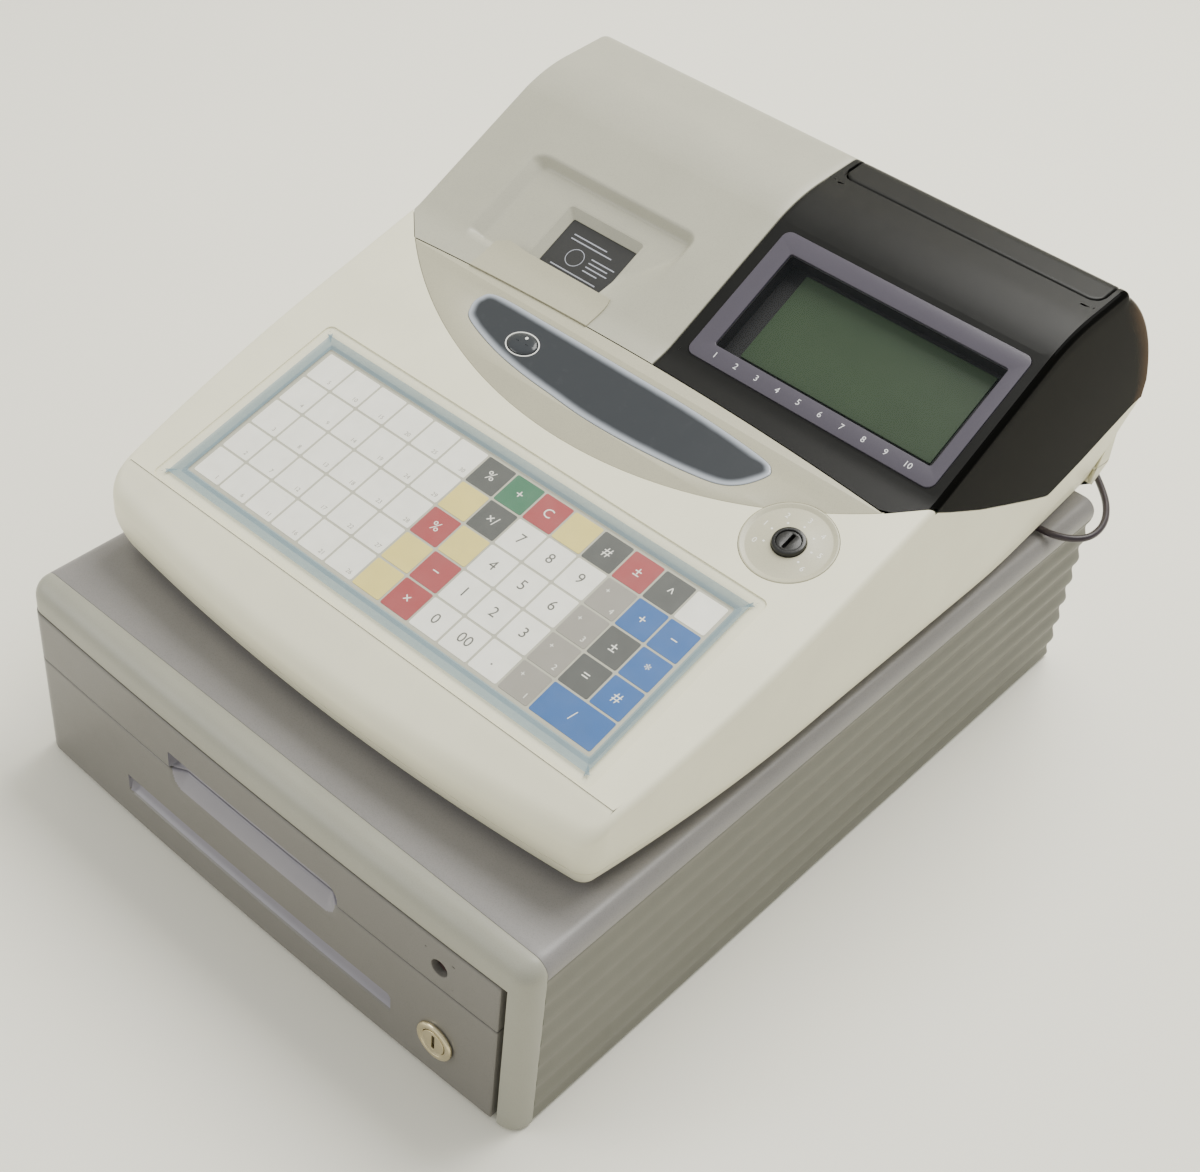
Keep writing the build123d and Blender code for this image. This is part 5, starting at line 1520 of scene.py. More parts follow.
    def lower(self, palette: Palette) -> None:
        """Lower case: walls below the seam, the floor, and the tongue behind the seam at the rear.

        Args:
            palette: the finishes.
        """
        form, draft = self.form, Draft()
        path = form.outline()
        normals = left_normals(path)
        top = form.seam - self.gap
        walls = self.walls(path, normals, form.bottom, np.full(len(path), top), self.skirt_levels)
        draft.grid(join(walls, self.seam_edge(path, normals, top)[:, ::-1], axis=1))
        loops = [self.walls(path, normals, form.bottom, np.full(len(path), top), 2)[:, 0]]
        for side in Side:
            rear = form.rear_outline(side)
            inner = left_normals(rear) * side.value
            wall = self.walls(rear, inner, form.bottom, np.full(len(rear), top), self.skirt_levels)
            loops.append(wall[:, 0] if side is Side.RIGHT else wall[::-1, 0])
            foot = float(wall[-1, 0, 1])
            columns = join(wall, self.seam_edge(rear, inner, top)[:, ::-1], axis=1)
            self.flank(draft, side, columns, foot + (form.rear - foot) * shares(wall.shape[1]),
                       wall[-1])
        floor = join(loops[0], loops[2][1:], loops[1][:-1])
        draft.cap([floor], [floor[:, :2]], flip=True)
        half, tongue = form.half - form.rear_round, form.rear - 1.2
        steps = [(foot + (form.rear - foot) * s, form.bottom + (top - form.bottom) * s)
                 for s in shares(4)]
        steps += [(tongue, form.bottom + (top - form.bottom)), (tongue, form.seam + 3.0)]
        draft.grid([[[x, y, z] for x in (-half, half)] for y, z in steps], flip=True)
        draft.stand_in("lower_case", "cabinet", palette["ivory case"], "ivory", outward=True)

    def build(self, palette: Palette) -> None:
        """Make the upper and the lower case."""
        self.upper(palette)
        self.lower(palette)

    def seam_edge(self, path: Array, normals: Array, z: float) -> Array:
        """Small turned-in edge at the joint between the cases, as two columns of points.

        Args:
            path: array of (x, y) rows.
            normals: inward normals of the path.
            z: the joint's height.

        Returns:
            Array of rows by 2 by 3.
        """
        inset = self.form.side_inset(path[:, 1:2], np.array([[z]]))
        columns = [lift(path + normals * (inset + extra), z) for extra in (2.0, 0.35)]
        return np.array(columns).transpose(1, 0, 2)


@dataclass(frozen=True)
class TrimPlate:
    """Warm grey plate between the deck's arc and the hoods' front edge."""

    shell: CaseShell
    bottom: float = -1.5
    top: float = 0.0
    edge: float = 0.25

    def build(self, palette: Palette) -> None:
        """Make the plate with its notch at the dial and its opening for the label.

        Args:
            palette: the finishes.
        """
        form = self.shell.form
        arc = self.shell.arc_path(form.arc_radius - self.shell.gap / 2, False)
        x = np.linspace(arc[-1, 0] - 0.5, arc[0, 0] + 0.5, 60)
        rear = stack(x, DECK.v_of(form.front_edge(x) - 0.2))
        outline = join(arc, rear)
        hole = inset_loop(LabelAndButton().loop(), -0.15)
        draft = Draft()
        Plate(DECK, self.bottom, self.top, self.edge, 3).build(draft, outline, [hole])
        draft.stand_in("trim_plate", "cabinet", palette["trim plate"], "upper_ivory")


@dataclass(frozen=True)
class Hood:
    """What the printer cover, the display housing and its side cover share."""

    form: RegisterForm
    gap: float = 0.25

    def rows(self, start: float, end: float, step: float) -> list[float]:
        """Profile depths between two values, no further apart than a step.

        Args:
            start, end: the first and the last depth.
            step: the widest spacing.

        Returns:
            The depths, in order.
        """
        marks = [start] + [float(y) for y in self.form.profile[:, 0] if start < y < end] + [end]
        dense = [marks[0]]
        for y in marks[1:]:
            count = max(1, ceil((y - dense[-1]) / step))
            dense += list(np.linspace(dense[-1], y, count + 1)[1:])
        return dense

    def sheet(self, columns: Sequence[Pair], end: float, step: float) -> tuple[Array, ...]:
        """Depths and positions of a skin that begins at the hoods' front edge.

        Args:
            columns: (x, sink) of each column.
            end: plan depth of the last row.
            step: largest distance between rows.

        Returns:
            Arrays x, y and sink, rows by columns.
        """
        x = np.array([c[0] for c in columns])
        sink = np.array([c[1] for c in columns])
        front = self.form.front_edge(x) + self.gap
        foot = 36.0
        first = list(between(front, foot, 9))
        rest = [np.full_like(x, y) for y in self.rows(foot, end, step)[1:]]
        y = np.array(first + rest)
        return np.broadcast_to(x, y.shape), y, np.broadcast_to(sink, y.shape)

    def wall(self, edge: Array, count: int = 8) -> Array:
        """Wall from a row of edge points down to the line on the case's side."""
        low = np.minimum(self.form.line(edge[:, 1]) + self.gap, edge[:, 2])
        z = between(edge[:, 2], low, count).T
        return stack(edge[:, 0:1], edge[:, 1:2], z)

    def fillet(self, edge_x: float, radius: float, side: float) -> list[Pair]:
        """Columns of a rounded side edge: x = edge -+ r (1 - sin t), sink = r (1 - cos t)."""
        return [(edge_x - side * radius * (1 - sin(t)), radius * (1 - cos(t))) for t in quarter(8)]


@dataclass(frozen=True)
class PrinterCover(Hood):
    """Hinged cover over the printer, with a sloping recess and the ticket port."""

    radius: float = 4.0
    depth: float = 5.0
    recess_left: float = -129.5
    recess_right: float = -21.5
    recess_rear: float = 86.5
    recess_round: float = 6.0
    port: Box = (-95.0, -44.5, 40.0, 73.0)
    opening: Box = (-90.0, -46.0, 40.6, 68.5)

    def recess(self, x: Array, y: Array) -> Array:
        """Depth of the recess: full inside, easing out at its left, rear, right and front.

        Args:
            x, y: plan positions.

        Returns:
            The depth at each position.
        """
        bend, along = self.recess_round, self.recess_rear - y
        turn = np.minimum((x - self.recess_left) * 0.55, self.recess_right - x)
        rounded = bend - np.hypot(bend - turn, bend - along)
        inside = np.where((turn < bend) & (along < bend), rounded, np.minimum(turn, along))
        reach = 4.0 + 34.0 * smooth_step(-y, -76.0, -44.0) * smooth_step(x, -60.0, self.recess_right)
        samples = [np.clip(inside / reach + d, 0, 1) for d in (-0.08, -0.04, 0.0, 0.04, 0.08)]
        front = smooth_step(y, 34.0, 38.0 + 24.0 * smooth_step(x, -100.0, -20.0))
        return self.depth * (sum(samples) / len(samples)) * front

    def build(self, palette: Palette) -> None:
        """Make the cover, its port and the tear flap.

        Args:
            palette: the finishes.
        """
        seam = self.form.split - self.gap / 2 - 0.1
        inner = sorted({*np.arange(-154.0, 2.0, 0.8), *self.port[:2]}, reverse=True)
        columns = [(seam, 2.0), (seam, 0.5), (seam - 0.15, 0.15), (seam - 0.5, 0.0),
                   *((v, 0.0) for v in inner), *self.fillet(-self.form.half, self.radius, -1.0)]
        x, y, sink = self.sheet(columns, float(self.form.profile[-1, 0]), 0.9)
        points = self.form.skin(x, y, sink + self.recess(x, y))
        wall = self.wall(points[:, -1])
        draft = Draft()
        chosen = np.pad(cells_outside(x, y, self.port), ((0, 0), (0, wall.shape[1] - 1)),
                        constant_values=True)
        draft.cells(join(points, wall[:, 1:], axis=1), chosen)
        draft.stand_in("printer_cover", "cover", palette["grey ivory cover"], "upper_ivory", sharp=50.0)
        self.port_frame(palette)
        self.panel_marks(palette)
        self.flap(palette)

    def port_frame(self, palette: Palette) -> None:
        """Sloping frame of the port, from the recess down to the dark panel.

        Args:
            palette: the finishes.
        """
        x0, x1, y0, y1 = self.port
        a0, a1, b0, b1 = self.opening
        outer = rounded_loop(x0 - 1.2, x1 + 1.2, SLOPE.v_of(y0 - 2.2), SLOPE.v_of(y1 + 1.4), 2.6, 8)
        mouth = rounded_loop(x0 + 0.6, x1 - 0.6, SLOPE.v_of(y0) - 0.2, SLOPE.v_of(y1) - 0.6, 2.4, 8)
        inner = rounded_loop(a0, a1, SLOPE.v_of(b0), SLOPE.v_of(b1), 1.2, 8)
        rows = [lift(loop, rise - self.depth) for loop, rise in (
            (outer, 0.05), (mouth, -0.1), (inset_loop(mouth, 0.7), -0.7),
            (inset_loop(inner, -0.5), -3.2), (inner, -3.6), (inner, -4.4))]
        draft = Draft()
        draft.grid(SLOPE.place(rows), wrap_cols=True)
        draft.piece("port_frame", "cover", palette["grey ivory cover"], "upper_ivory",
                    ["printer_cover"])

    def panel_marks(self, palette: Palette) -> None:
        """Plain ring and bars printed on the dark panel under the port.

        Args:
            palette: the finishes.
        """
        w, draft = -8.94, Draft()
        centre = SLOPE.v_of(52.4)
        rings = [oval_loop(-74.4, centre, r, r) for r in (5.2, 4.8)]
        draft.fill(SLOPE, w, *rings)
        bars = [(-66.0, 15.0, 3.6), (-66.0, 12.5, 1.1), (-66.0, 14.0, -1.4), (-66.0, 9.5, -3.9),
                (-84.0, 27.0, 8.6), (-84.0, 22.0, 11.2), (-84.0, 30.0, -8.4)]
        for x, length, rise in bars:
            bar = rounded_loop(x, x + length, centre + rise - 0.35, centre + rise + 0.35, 0.15, 2)
            draft.fill(SLOPE, w, bar)
        draft.piece("panel_marks", "cabinet", palette["panel ink"], "white")

    def flap(self, palette: Palette) -> None:
        """Tear flap in the trim's colour, bent over the foot of the slope.

        Args:
            palette: the finishes.
        """
        ends = np.array([(-110.8, 36.8), (-110.0, 37.6), (-104.4, 40.8), (-98.0, 40.4), (-90.4, 39.9),
                         (-36.1, 40.1), (-35.2, 37.5), (-34.9, 35.3)])
        x = np.unique(join(np.linspace(-110.8, -34.9, 60), ends[:, 0]))
        front = self.form.front_edge(x) - 0.1
        back = np.interp(x, ends[:, 0], ends[:, 1])
        rise = 0.9
        y = between(front, back, 16)
        top, base = self.form.skin(x, y, -rise), self.form.skin(x, y, 0.5)
        draft = Draft()
        draft.grid(top)
        for low, high in ((base[0], top[0]), (top[-1], base[-1]), (top[:, 0], base[:, 0]),
                          (base[:, -1], top[:, -1])):
            draft.grid([low, high])
        draft.stand_in("tear_flap", "cover", palette["trim plate"], "upper_ivory")


@dataclass(frozen=True)
class DisplayHousing(Hood):
    """Satin black housing of the operator display, its glossy side and the customer display."""

    side_x: float = 162.1
    groove: Box = (10.0, 160.0, 154.5, 216.6)
    groove_floor: float = 224.0
    groove_start: float = 150.0
    head: Triple = (216.2, 224.5, 158.0)
    corner: float = 7.0
    field: Box = (11.5, 160.0, 36.0, 111.9)

    def groove_front(self, x: Array, x0: float, x1: float, y0: float) -> Array:
        """Front edge with rounded ends: y0 + r - sqrt(r^2 - (r - d)^2), d from the nearer end."""
        d = np.clip(np.minimum(x - x0, x1 - x), 0.0, self.corner)
        return y0 + self.corner - np.sqrt(self.corner ** 2 - (self.corner - d) ** 2)

    def patch(self, draft: Draft, xs: Sequence[float], y: Array, flip: bool = True) -> Array:
        """Add a patch of the skin; y is rows by columns."""
        points = self.form.skin(np.array(xs), y, 0.0)
        draft.grid(points, flip=flip)
        return points

    def housing(self, palette: Palette) -> None:
        """Top skin with the field of the bezel and the groove of the customer display.

        Args:
            palette: the finishes.
        """
        seam = self.form.split + self.gap / 2 + 0.1
        g0, g1, gy, gy1 = self.groove
        f0, f1, fy0, fy1 = self.field
        xs = sorted({seam, seam + 1.2, g0, f0, *np.linspace(14.0, 156.0, 26), f1, self.side_x})
        draft = Draft()
        columns = [(seam, 2.5), (seam, 0.6), (seam + 0.2, 0.15)] + [(v, 0.0) for v in xs[1:]] \
            + [(self.side_x + 0.02, 2.5)]
        x, y, sink = self.sheet(columns, self.groove_start, 4.0)
        fy1 = float(y[np.argmin(np.abs(y[:, 0] - fy1)), 0])
        points = self.form.skin(x, y, sink)
        draft.cells(points, cells_outside(x, y, (f0, f1, fy0, fy1)))
        outline = np.array([(f0, SLOPE.v_of(fy0)), (f1, SLOPE.v_of(fy0)), (f1, SLOPE.v_of(fy1)),
                            (f0, SLOPE.v_of(fy1))])
        hole = OperatorDisplay().loop(OperatorDisplay().bezel, 4.7, 0.25)
        draft.fill(SLOPE, 0.0, outline, hole)
        draft.grid(SLOPE.place([lift(hole, 0.0), lift(hole, -2.0)]), wrap_cols=True, flip=True)
        middle = np.unique(join(np.linspace(g0, g0 + self.corner, 8), np.linspace(g0, g1, 30),
                                np.linspace(g1 - self.corner, g1, 8)))
        edge = self.groove_front(middle, g0, g1, gy)
        lip = self.patch(draft, middle, between(self.groove_start, edge, 5))[-1]
        end = float(self.form.profile[-1, 0])
        for x0, x1 in ((seam, g0), (g1, self.side_x)):
            ys = np.array([[v, v] for v in self.rows(self.groove_start, end, 3.0)])
            strip = self.patch(draft, [x0, x1], ys)
            inner = strip[:, 1] if x1 == g0 else strip[:, 0]
            edge_row = strip[:, 0] if x1 == g0 else strip[:, 1]
            draft.grid([edge_row, edge_row - np.array([0.0, 0.0, 2.5])])
            cheek = inner[(inner[:, 1] > gy) & (inner[:, 2] > self.groove_floor)]
            low = lift(cheek[:, :2], self.groove_floor)
            draft.grid([cheek, low])
        self.patch(draft, [g0, g1], np.array([[v, v] for v in self.rows(gy1, end, 3.0)]))
        floor_row = lift(lip[:, :2], self.groove_floor)
        round_lip = lip + np.array([0.0, 0.3, -0.4])
        draft.grid([lip, round_lip, floor_row], flip=True)
        rear_row = floor_row * np.array([1, 0, 1]) + np.array([0, gy1, 0])
        draft.grid([floor_row, rear_row], flip=True)
        draft.stand_in("display_housing", "cabinet", palette["satin black"], "black",
                       sharp=45.0, outward=True)

    def side(self, palette: Palette) -> None:
        """Glossy side cover, its rear edge painted brown as a glow of light through the smoked plastic.

        Args:
            palette: the finishes.
        """
        columns = [(self.side_x + 0.15, 0.8), (self.side_x + 0.2, 0.0)] \
            + self.fillet(self.form.half, self.form.half - self.side_x - 0.2, 1.0)[1:]
        x, y, sink = self.sheet(columns, float(self.form.profile[-1, 0]), 3.0)
        points = self.form.skin(x, y, sink)
        wall = self.wall(points[:, -1], 14)
        every = join(points, wall[:, 1:], axis=1)
        back = self.form.profile[self.form.profile[:, 0] > 176.0]
        far = np.interp(every[..., 2], back[::-1, 1], back[::-1, 0]) - every[..., 1]
        # painted light: glow turns the side cover brown near its rear edge, where light shines through
        # the smoked plastic
        glow = smooth_step(-far, -15.0, -1.0) * smooth_step(every[..., 1], 172.0, 200.0)
        tints = stack(glow, glow, glow, 1.0)
        draft = Draft()
        draft.grid(every, flip=True, tints=tints)
        draft.piece("display_side_looks", "cabinet", palette["smoked side"], "black_gloss",
                    ["display_side_cover"], sharp=50.0, outward=True)

    def customer(self, palette: Palette) -> None:
        """Pop-up customer display: a bar with rounded ends on a mast, its window at the rear.

        Args:
            palette: the finishes.
        """
        x0, x1, y0 = self.groove[0] + 1.0, self.groove[1] - 1.0, self.groove[2] + 0.8
        end, floor, mast_foot = self.head
        x = np.unique(join(np.array([x0, x0 + 0.3, x0 + 0.9]), np.linspace(x0, x0 + self.corner, 9),
                           np.linspace(x0, x1, 30), np.linspace(x1 - self.corner, x1, 9),
                           np.array([x1 - 0.9, x1 - 0.3])))
        front = self.groove_front(x, x0, x1, y0)
        y = join([front, front + 0.25], between(front + 0.9, end, 40))
        from_end = np.minimum(x - x0, x1 - x)
        edge_x = np.clip(1 - from_end / 0.9, 0, 1) ** 2
        edge_y = np.zeros(len(y))
        edge_y[0], edge_y[1] = 1.0, 0.35
        sink = np.maximum(np.broadcast_to(edge_x, y.shape), edge_y[:, None])
        top = self.form.skin(x, y, sink)
        draft = Draft()
        draft.grid(top, flip=True)
        for border, flip in ((top[0], False), (top[:, 0], True), (top[:, -1], False), (top[-1], True)):
            low = lift(border[:, :2], floor)
            draft.grid([border, low], flip=flip)
        loop = join(top[0], top[-1][::-1])
        loop[:, 2] = floor
        draft.cap([loop], [loop[:, :2]], flip=True)
        t = np.arange(32) * pi / 16
        mast_x, mast_y = (self.groove[0] + self.groove[1]) / 2, self.groove[2] + 22.0
        mast = np.array([stack(mast_x + 7 * np.cos(t), mast_y + 7 * np.sin(t), z)
                         for z in (mast_foot, floor)])
        draft.grid(mast, wrap_cols=True)
        draft.stand_in("customer_head", "customer_display", palette["satin black"], "black_gloss",
                       sharp=45.0, outward=True)
        window = Draft()
        xs, ys = np.linspace(24.0, 146.0, 20), np.array(self.rows(190.0, 208.5, 2.0))
        gx, gy = np.meshgrid(xs, ys)
        window.grid(self.form.skin(gx, gy, -0.12))
        window.stand_in("customer_window", "customer_display", palette["gloss black"], "smoked")

    def build(self, palette: Palette) -> None:
        """Make the housing, its side cover and the customer display."""
        self.housing(palette)
        self.side(palette)
        self.customer(palette)


# ------------------------------------------------------------------ cash drawer cabinet
FLAT = TiltedPlane((0.0, 0.0, 0.0), 0.0)
UPRIGHT = TiltedPlane((0.0, 0.0, 0.0), radians(90))


@dataclass(frozen=True)
class CabinetForm:
    """Sizes of the cabinet that its pieces share, and the plan of its bowed front."""

    half: float = 165.0
    front: float = -221.5
    rear: float = 221.5
    bow: float = 3.0
    seam: float = -210.0
    bar_z: float = 97.0
    top: float = 114.0
    lip: float = 104.0
    bottom: float = 2.0
    corner: float = 10.0

    def face(self, x: Array) -> Array:
        """Depth of the bowed front: front - bow (1 - (x / half)^2)."""
        return self.front - self.bow * (1 - (x / self.half) ** 2)

    def arc(self, side: float, stop: float) -> Array:
        """Rounded upright corner on one side, from the front face back to the given depth.

        Args:
            side: 1 for the right corner, -1 for the left.
            stop: where it ends.

        Returns:
            Array of (x, y) rows.
        """
        centre = np.array([self.half - self.corner, self.face(self.half - self.corner) + self.corner])
        last = asin(min(0.0, (stop - centre[1]) / self.corner))
        t = np.linspace(-pi / 2, last, 12)
        points = centre + self.corner * stack(np.cos(t), np.sin(t))
        return points * np.array([side, 1.0])


SEAM_EDGE = ((0.07, 0.13), (0.2, 0.2), (2.0, 0.2))


@dataclass(frozen=True)
class FrontBezel:
    """Rounded bar along the top of the front, its right post and the stub behind the drawer front."""

    form: CabinetForm
    post: float = 11.2
    edge: float = 0.6
    side_round: float = 8.0
    front_round: float = 10.0

    def path(self) -> Array:
        """Plan of the bar's face from the right seam round the front to the left seam."""
        end = self.form.seam - 0.2
        right = self.form.arc(1.0, self.form.seam)[::-1]
        x = np.linspace(self.form.half - self.form.corner, -self.form.half + self.form.corner, 80)[1:-1]
        x = np.unique(join(x, [self.form.half - self.post + self.edge]))[::-1]
        middle = stack(x, self.form.face(x))
        left = self.form.arc(-1.0, self.form.seam)
        ends = np.array([[self.form.half, end]]), np.array([[-self.form.half, end]])
        return join(ends[0], right, middle, left, ends[1])

    def ends(self, row: Array, t: float) -> Array:
        """Add the turned-in edge at the seam to a row, along the section's normal (cos t, sin t)."""
        right, left = ([point + np.array([-sign * depth * cos(t), back, -depth * sin(t)]) for depth,
                        back in SEAM_EDGE] for sign, point in ((1.0, row[0]), (-1.0, row[-1])))
        return join(right[::-1], row, left)

    def build(self, palette: Palette) -> None:
        """Make the bar and both posts.

        Args:
            palette: the finishes.
        """
        form, path = self.form, self.path()
        normals = -left_normals(path)
        low = form.bar_z + self.edge
        draft, rows = Draft(), []
        for z in np.linspace(low, form.top - self.front_round, 4):
            rows.append(self.ends(lift(path, z), 0.0))
        reach = self.side_round + (self.front_round - self.side_round) * np.abs(normals[:, 1])
        for t in quarter(11)[1:]:
            place = path + normals * (reach * (1 - cos(t)))[:, None]
            rows.append(self.ends(lift(place, form.top - reach * (1 - sin(t))), t))
        draft.grid(rows, flip=True)
        ring = rows[-1][3:-3]
        draft.cap([ring[::-1]], [ring[::-1, :2]])
        x = np.linspace(ring[0, 0], ring[-1, 0], 40)
        seam = np.array([[[v, form.seam - 0.2 + back, form.top - depth] for v in x]
                         for depth, back in ((0.0, 0.0), *SEAM_EDGE)])
        draft.grid(seam, flip=True)
        self.underside(draft, path, normals)
        self.posts(draft, path)
        draft.stand_in("front_bezel", "cabinet", palette["bar grey"], "bar_grey")

    def underside(self, draft: Draft, path: Array, normals: Array) -> None:
        """Lower edge of the bar from the right post to the left end, and its flat underside.

        Args:
            draft: where it goes.
            path: plan of the bar's face.
            normals: its inward normals.
        """
        open_part = path[:, 0] < self.form.half - self.post + self.edge + 0.01
        line, inward = path[open_part], normals[open_part]
        rows = [lift(line + inward * depth, self.form.bar_z + rise)
                for depth, rise in ((self.edge, 0.0), (0.18, 0.18), (0.0, self.edge))]
        draft.grid(rows, flip=True)
        ring = rows[0]
        back = np.array([[ring[-1, 0], self.form.seam, self.form.bar_z],
                         [ring[0, 0], self.form.seam, self.form.bar_z]])
        loop = join(ring, back)
        draft.cap([loop[::-1]], [loop[::-1, :2]], flip=True)

    def posts(self, draft: Draft, path: Array) -> None:
        """Right post in full and the stub of the left post behind the drawer front.

        Args:
            draft: where it goes.
            path: plan of the bar's face.
        """
        inner = self.form.half - self.post
        low, high = self.form.bottom, self.form.bar_z + self.edge
        corner = path[path[:, 0] >= inner + self.edge - 0.01]
        face = self.form.face(inner)
        turn = np.array([[inner + 0.18, face + 0.18], [inner, face + self.edge],
                         [inner, self.form.seam]])
        front = join(np.array([[self.form.half - 3.0, self.form.seam]]), corner, turn)
        rows = [lift(front, z) for z in (low, low + 0.5, high)]
        draft.grid(rows, flip=True)
        draft.cap([rows[0][::-1]], [rows[0][::-1, :2]], flip=True)
        stub = np.array([(-inner, -215.7), (-inner, self.form.seam), (-self.form.half, self.form.seam),
                         (-self.form.half, -212.0), (-164.1, -215.7)])
        Plate(FLAT, low, self.form.bar_z, 0.2, 2).build(draft, stub)


@dataclass(frozen=True)
class DrawerFront:
    """Lower panel and upper strip of the drawer's front, with the finger scoop and the cheque slot."""

    form: CabinetForm
    right: float = 151.0
    back: float = -216.0
    proud: float = 0.5
    low: float = 2.6
    joint: float = 66.0
    high: float = 96.5
    edge: float = 0.8
    scoop: Box = (-60.0, 55.0, 53.0, 77.0)
    scoop_depth: float = 6.4
    slot: Box = (-94.5, 89.0, 22.5, 33.6)
    slit: float = 30.6
    slot_depth: float = 6.0
    lamp: Box = (117.0, 79.5, 4.6, 8.0)

    def path(self) -> Array:
        """Plan of the face, from the right rear corner round the front to the left rear corner."""
        arc = self.form.arc(-1.0, self.back + self.proud)
        lx, _, _, lh = self.lamp
        marks = [self.scoop[0] - 0.3, self.scoop[0], self.slot[0] - 0.3, self.slot[0], lx - lh, lx + lh]
        x = join(np.arange(-154.0, 150.0, 1.5), np.arange(-61.5, -50.0, 0.5),
                 np.arange(42.0, 57.0, 0.5), np.arange(-96.0, -88.0, 0.5), np.arange(80.0, 91.0, 0.5),
                 marks)
        x = np.unique(np.round(x, 3))[::-1]
        x = x[x < self.right - self.edge]
        face = self.form.face(self.right)
        end = [(self.right, self.back + self.proud), (self.right, face + self.edge),
               (self.right - 0.12, face + 0.38), (self.right - 0.38, face + 0.12),
               (self.right - self.edge, face)]
        points = join(np.array(end), stack(x, self.form.face(x)), arc)
        return points - np.array([0.0, self.proud])

    def inside(self, x: Array, z: Array, box: Box, round_right: float) -> Array:
        """Distance inside a box whose right upper corner is rounded.

        Args:
            x, z: positions on the face.
            box: its x0, x1, z0 and z1.
            round_right: the corner's radius.

        Returns:
            The distance at each position.
        """
        x0, x1, _, z1 = box
        corner = np.array([x1 - round_right, z1 - round_right])
        beyond = np.hypot(np.clip(x - corner[0], 0, None), np.clip(z - corner[1], 0, None))
        near = np.minimum(x1 - x, z1 - z)
        rounded = np.where((x > corner[0]) & (z > corner[1]), round_right - beyond, near)
        return np.minimum(rounded, x - x0)

    def depth(self, x: Array, z: Array) -> Array:
        """How far the face lies behind the plain front.

        The scoop deepens as s^2 (3 - 2 s) from its lower edge up, and stops at a steep wall at its top
        and ends. The slot's ledge falls back in a straight line from its lower edge to the slit.

        Args:
            x, z: positions on the face.

        Returns:
            The depth at each position.
        """
        x0, x1, z0, _ = self.scoop
        wall = smooth_step(self.inside(x, z, self.scoop, 8.0), 0.0, 0.7)
        fade = smooth_step(x, x0, x0 + 9.0) * smooth_step(-x, -x1, -x1 + 9.0)
        upper = smooth_step(z, self.joint - 1.0, self.joint + 3.0)
        ends = upper + (1 - upper) * fade
        scoop = self.scoop_depth * smooth_step(z, z0, 73.0) * wall * ends
        s0, _, t0, t1 = self.slot
        rise = np.clip((z - t0) / (self.slit - t0), 0.0, 1.0)
        gap = smooth_step(self.inside(x, z, self.slot, 3.5), 0.0, 0.5)
        left = 0.35 + 0.65 * smooth_step(x, s0, s0 + 4.0)
        slot = self.slot_depth * rise ** 0.55 * gap * np.where(z > self.slit - 0.01, 1.0, left)
        return scoop + np.where((z > t0) & (z < t1), slot, 0.0)

    def levels(self, low: float, high: float) -> list[float]:
        """Heights of the grid's rows, closer together at the scoop and the slot.

        Args:
            low, high: the slab's lower and upper edge.

        Returns:
            The heights, in order.
        """
        marks = list(np.arange(low + 1.2, high - 1.0, 1.5))
        marks += [self.slit, self.slot[3], self.slot[3] + 0.4]
        marks += list(np.arange(22.0, 35.0, 0.7)) + list(np.arange(53.0, 78.5, 0.8)) + [76.4, 76.8,
                77.0, 77.3]
        marks += [self.lamp[1] - self.lamp[3], self.lamp[1] + self.lamp[3]]
        inner = np.unique(np.round([m for m in marks if low + 0.95 < m < high - 0.95], 3))
        return list(inner)

    def slab(self, low: float, high: float) -> Array:
        """Grid of a slab's surface from its rear lower edge over the face to its rear upper edge.

        Args:
            low, high: its lower and upper edge.

        Returns:
            Array of rows by columns by 3.
        """
        path = self.path()
        normals = -left_normals(path)
        edge = [(0.8, 0.0), (0.38, 0.12), (0.12, 0.38), (0.0, 0.8)]
        heights = [*((low + rise, inset) for inset, rise in edge),
                   *((z, 0.0) for z in self.levels(low, high)),
                   *((high - rise, inset) for inset, rise in edge[::-1])]
        z = np.array([h for h, _ in heights])[:, None] + np.zeros((1, len(path)))
        inset = np.array([i for _, i in heights])[:, None]
        x = np.broadcast_to(path[:, 0], z.shape)
        sink = inset + self.depth(x, z) * (np.abs(normals[:, 1]) > 0.9)
        points = stack(path[:, 0] + normals[:, 0] * sink, np.minimum(path[:, 1] + normals[:, 1] * sink,
                self.back), z)
        rear = [stack(path[:, 0], self.back, v) for v in (low, high)]
        return join(rear[:1], points, rear[1:])

    def open_grid(self, draft: Draft, recess: Draft, points: Array, hole: Box) -> None:
        """Add a face grid, its sunken cells to the recess, whose lighter grey is painted light, and
        none in the hole (x0, x1, z0, z1).

        Args:
            draft: where it goes.
            recess: where the sunken cells go.
            points: the face's grid.
            hole: the hole's x0, x1, z0 and z1.
        """
        x, y, z = np.moveaxis((points[:-1, :-1] + points[1:, 1:]) / 2, -1, 0)
        sunk = (self.depth(x, z) > 0.5) & (y < self.back - 0.3)
        kept = ~((x > hole[0]) & (x < hole[1]) & (z > hole[2]) & (z < hole[3]))
        draft.cells(points, kept & ~sunk)
        recess.cells(points, kept & sunk)

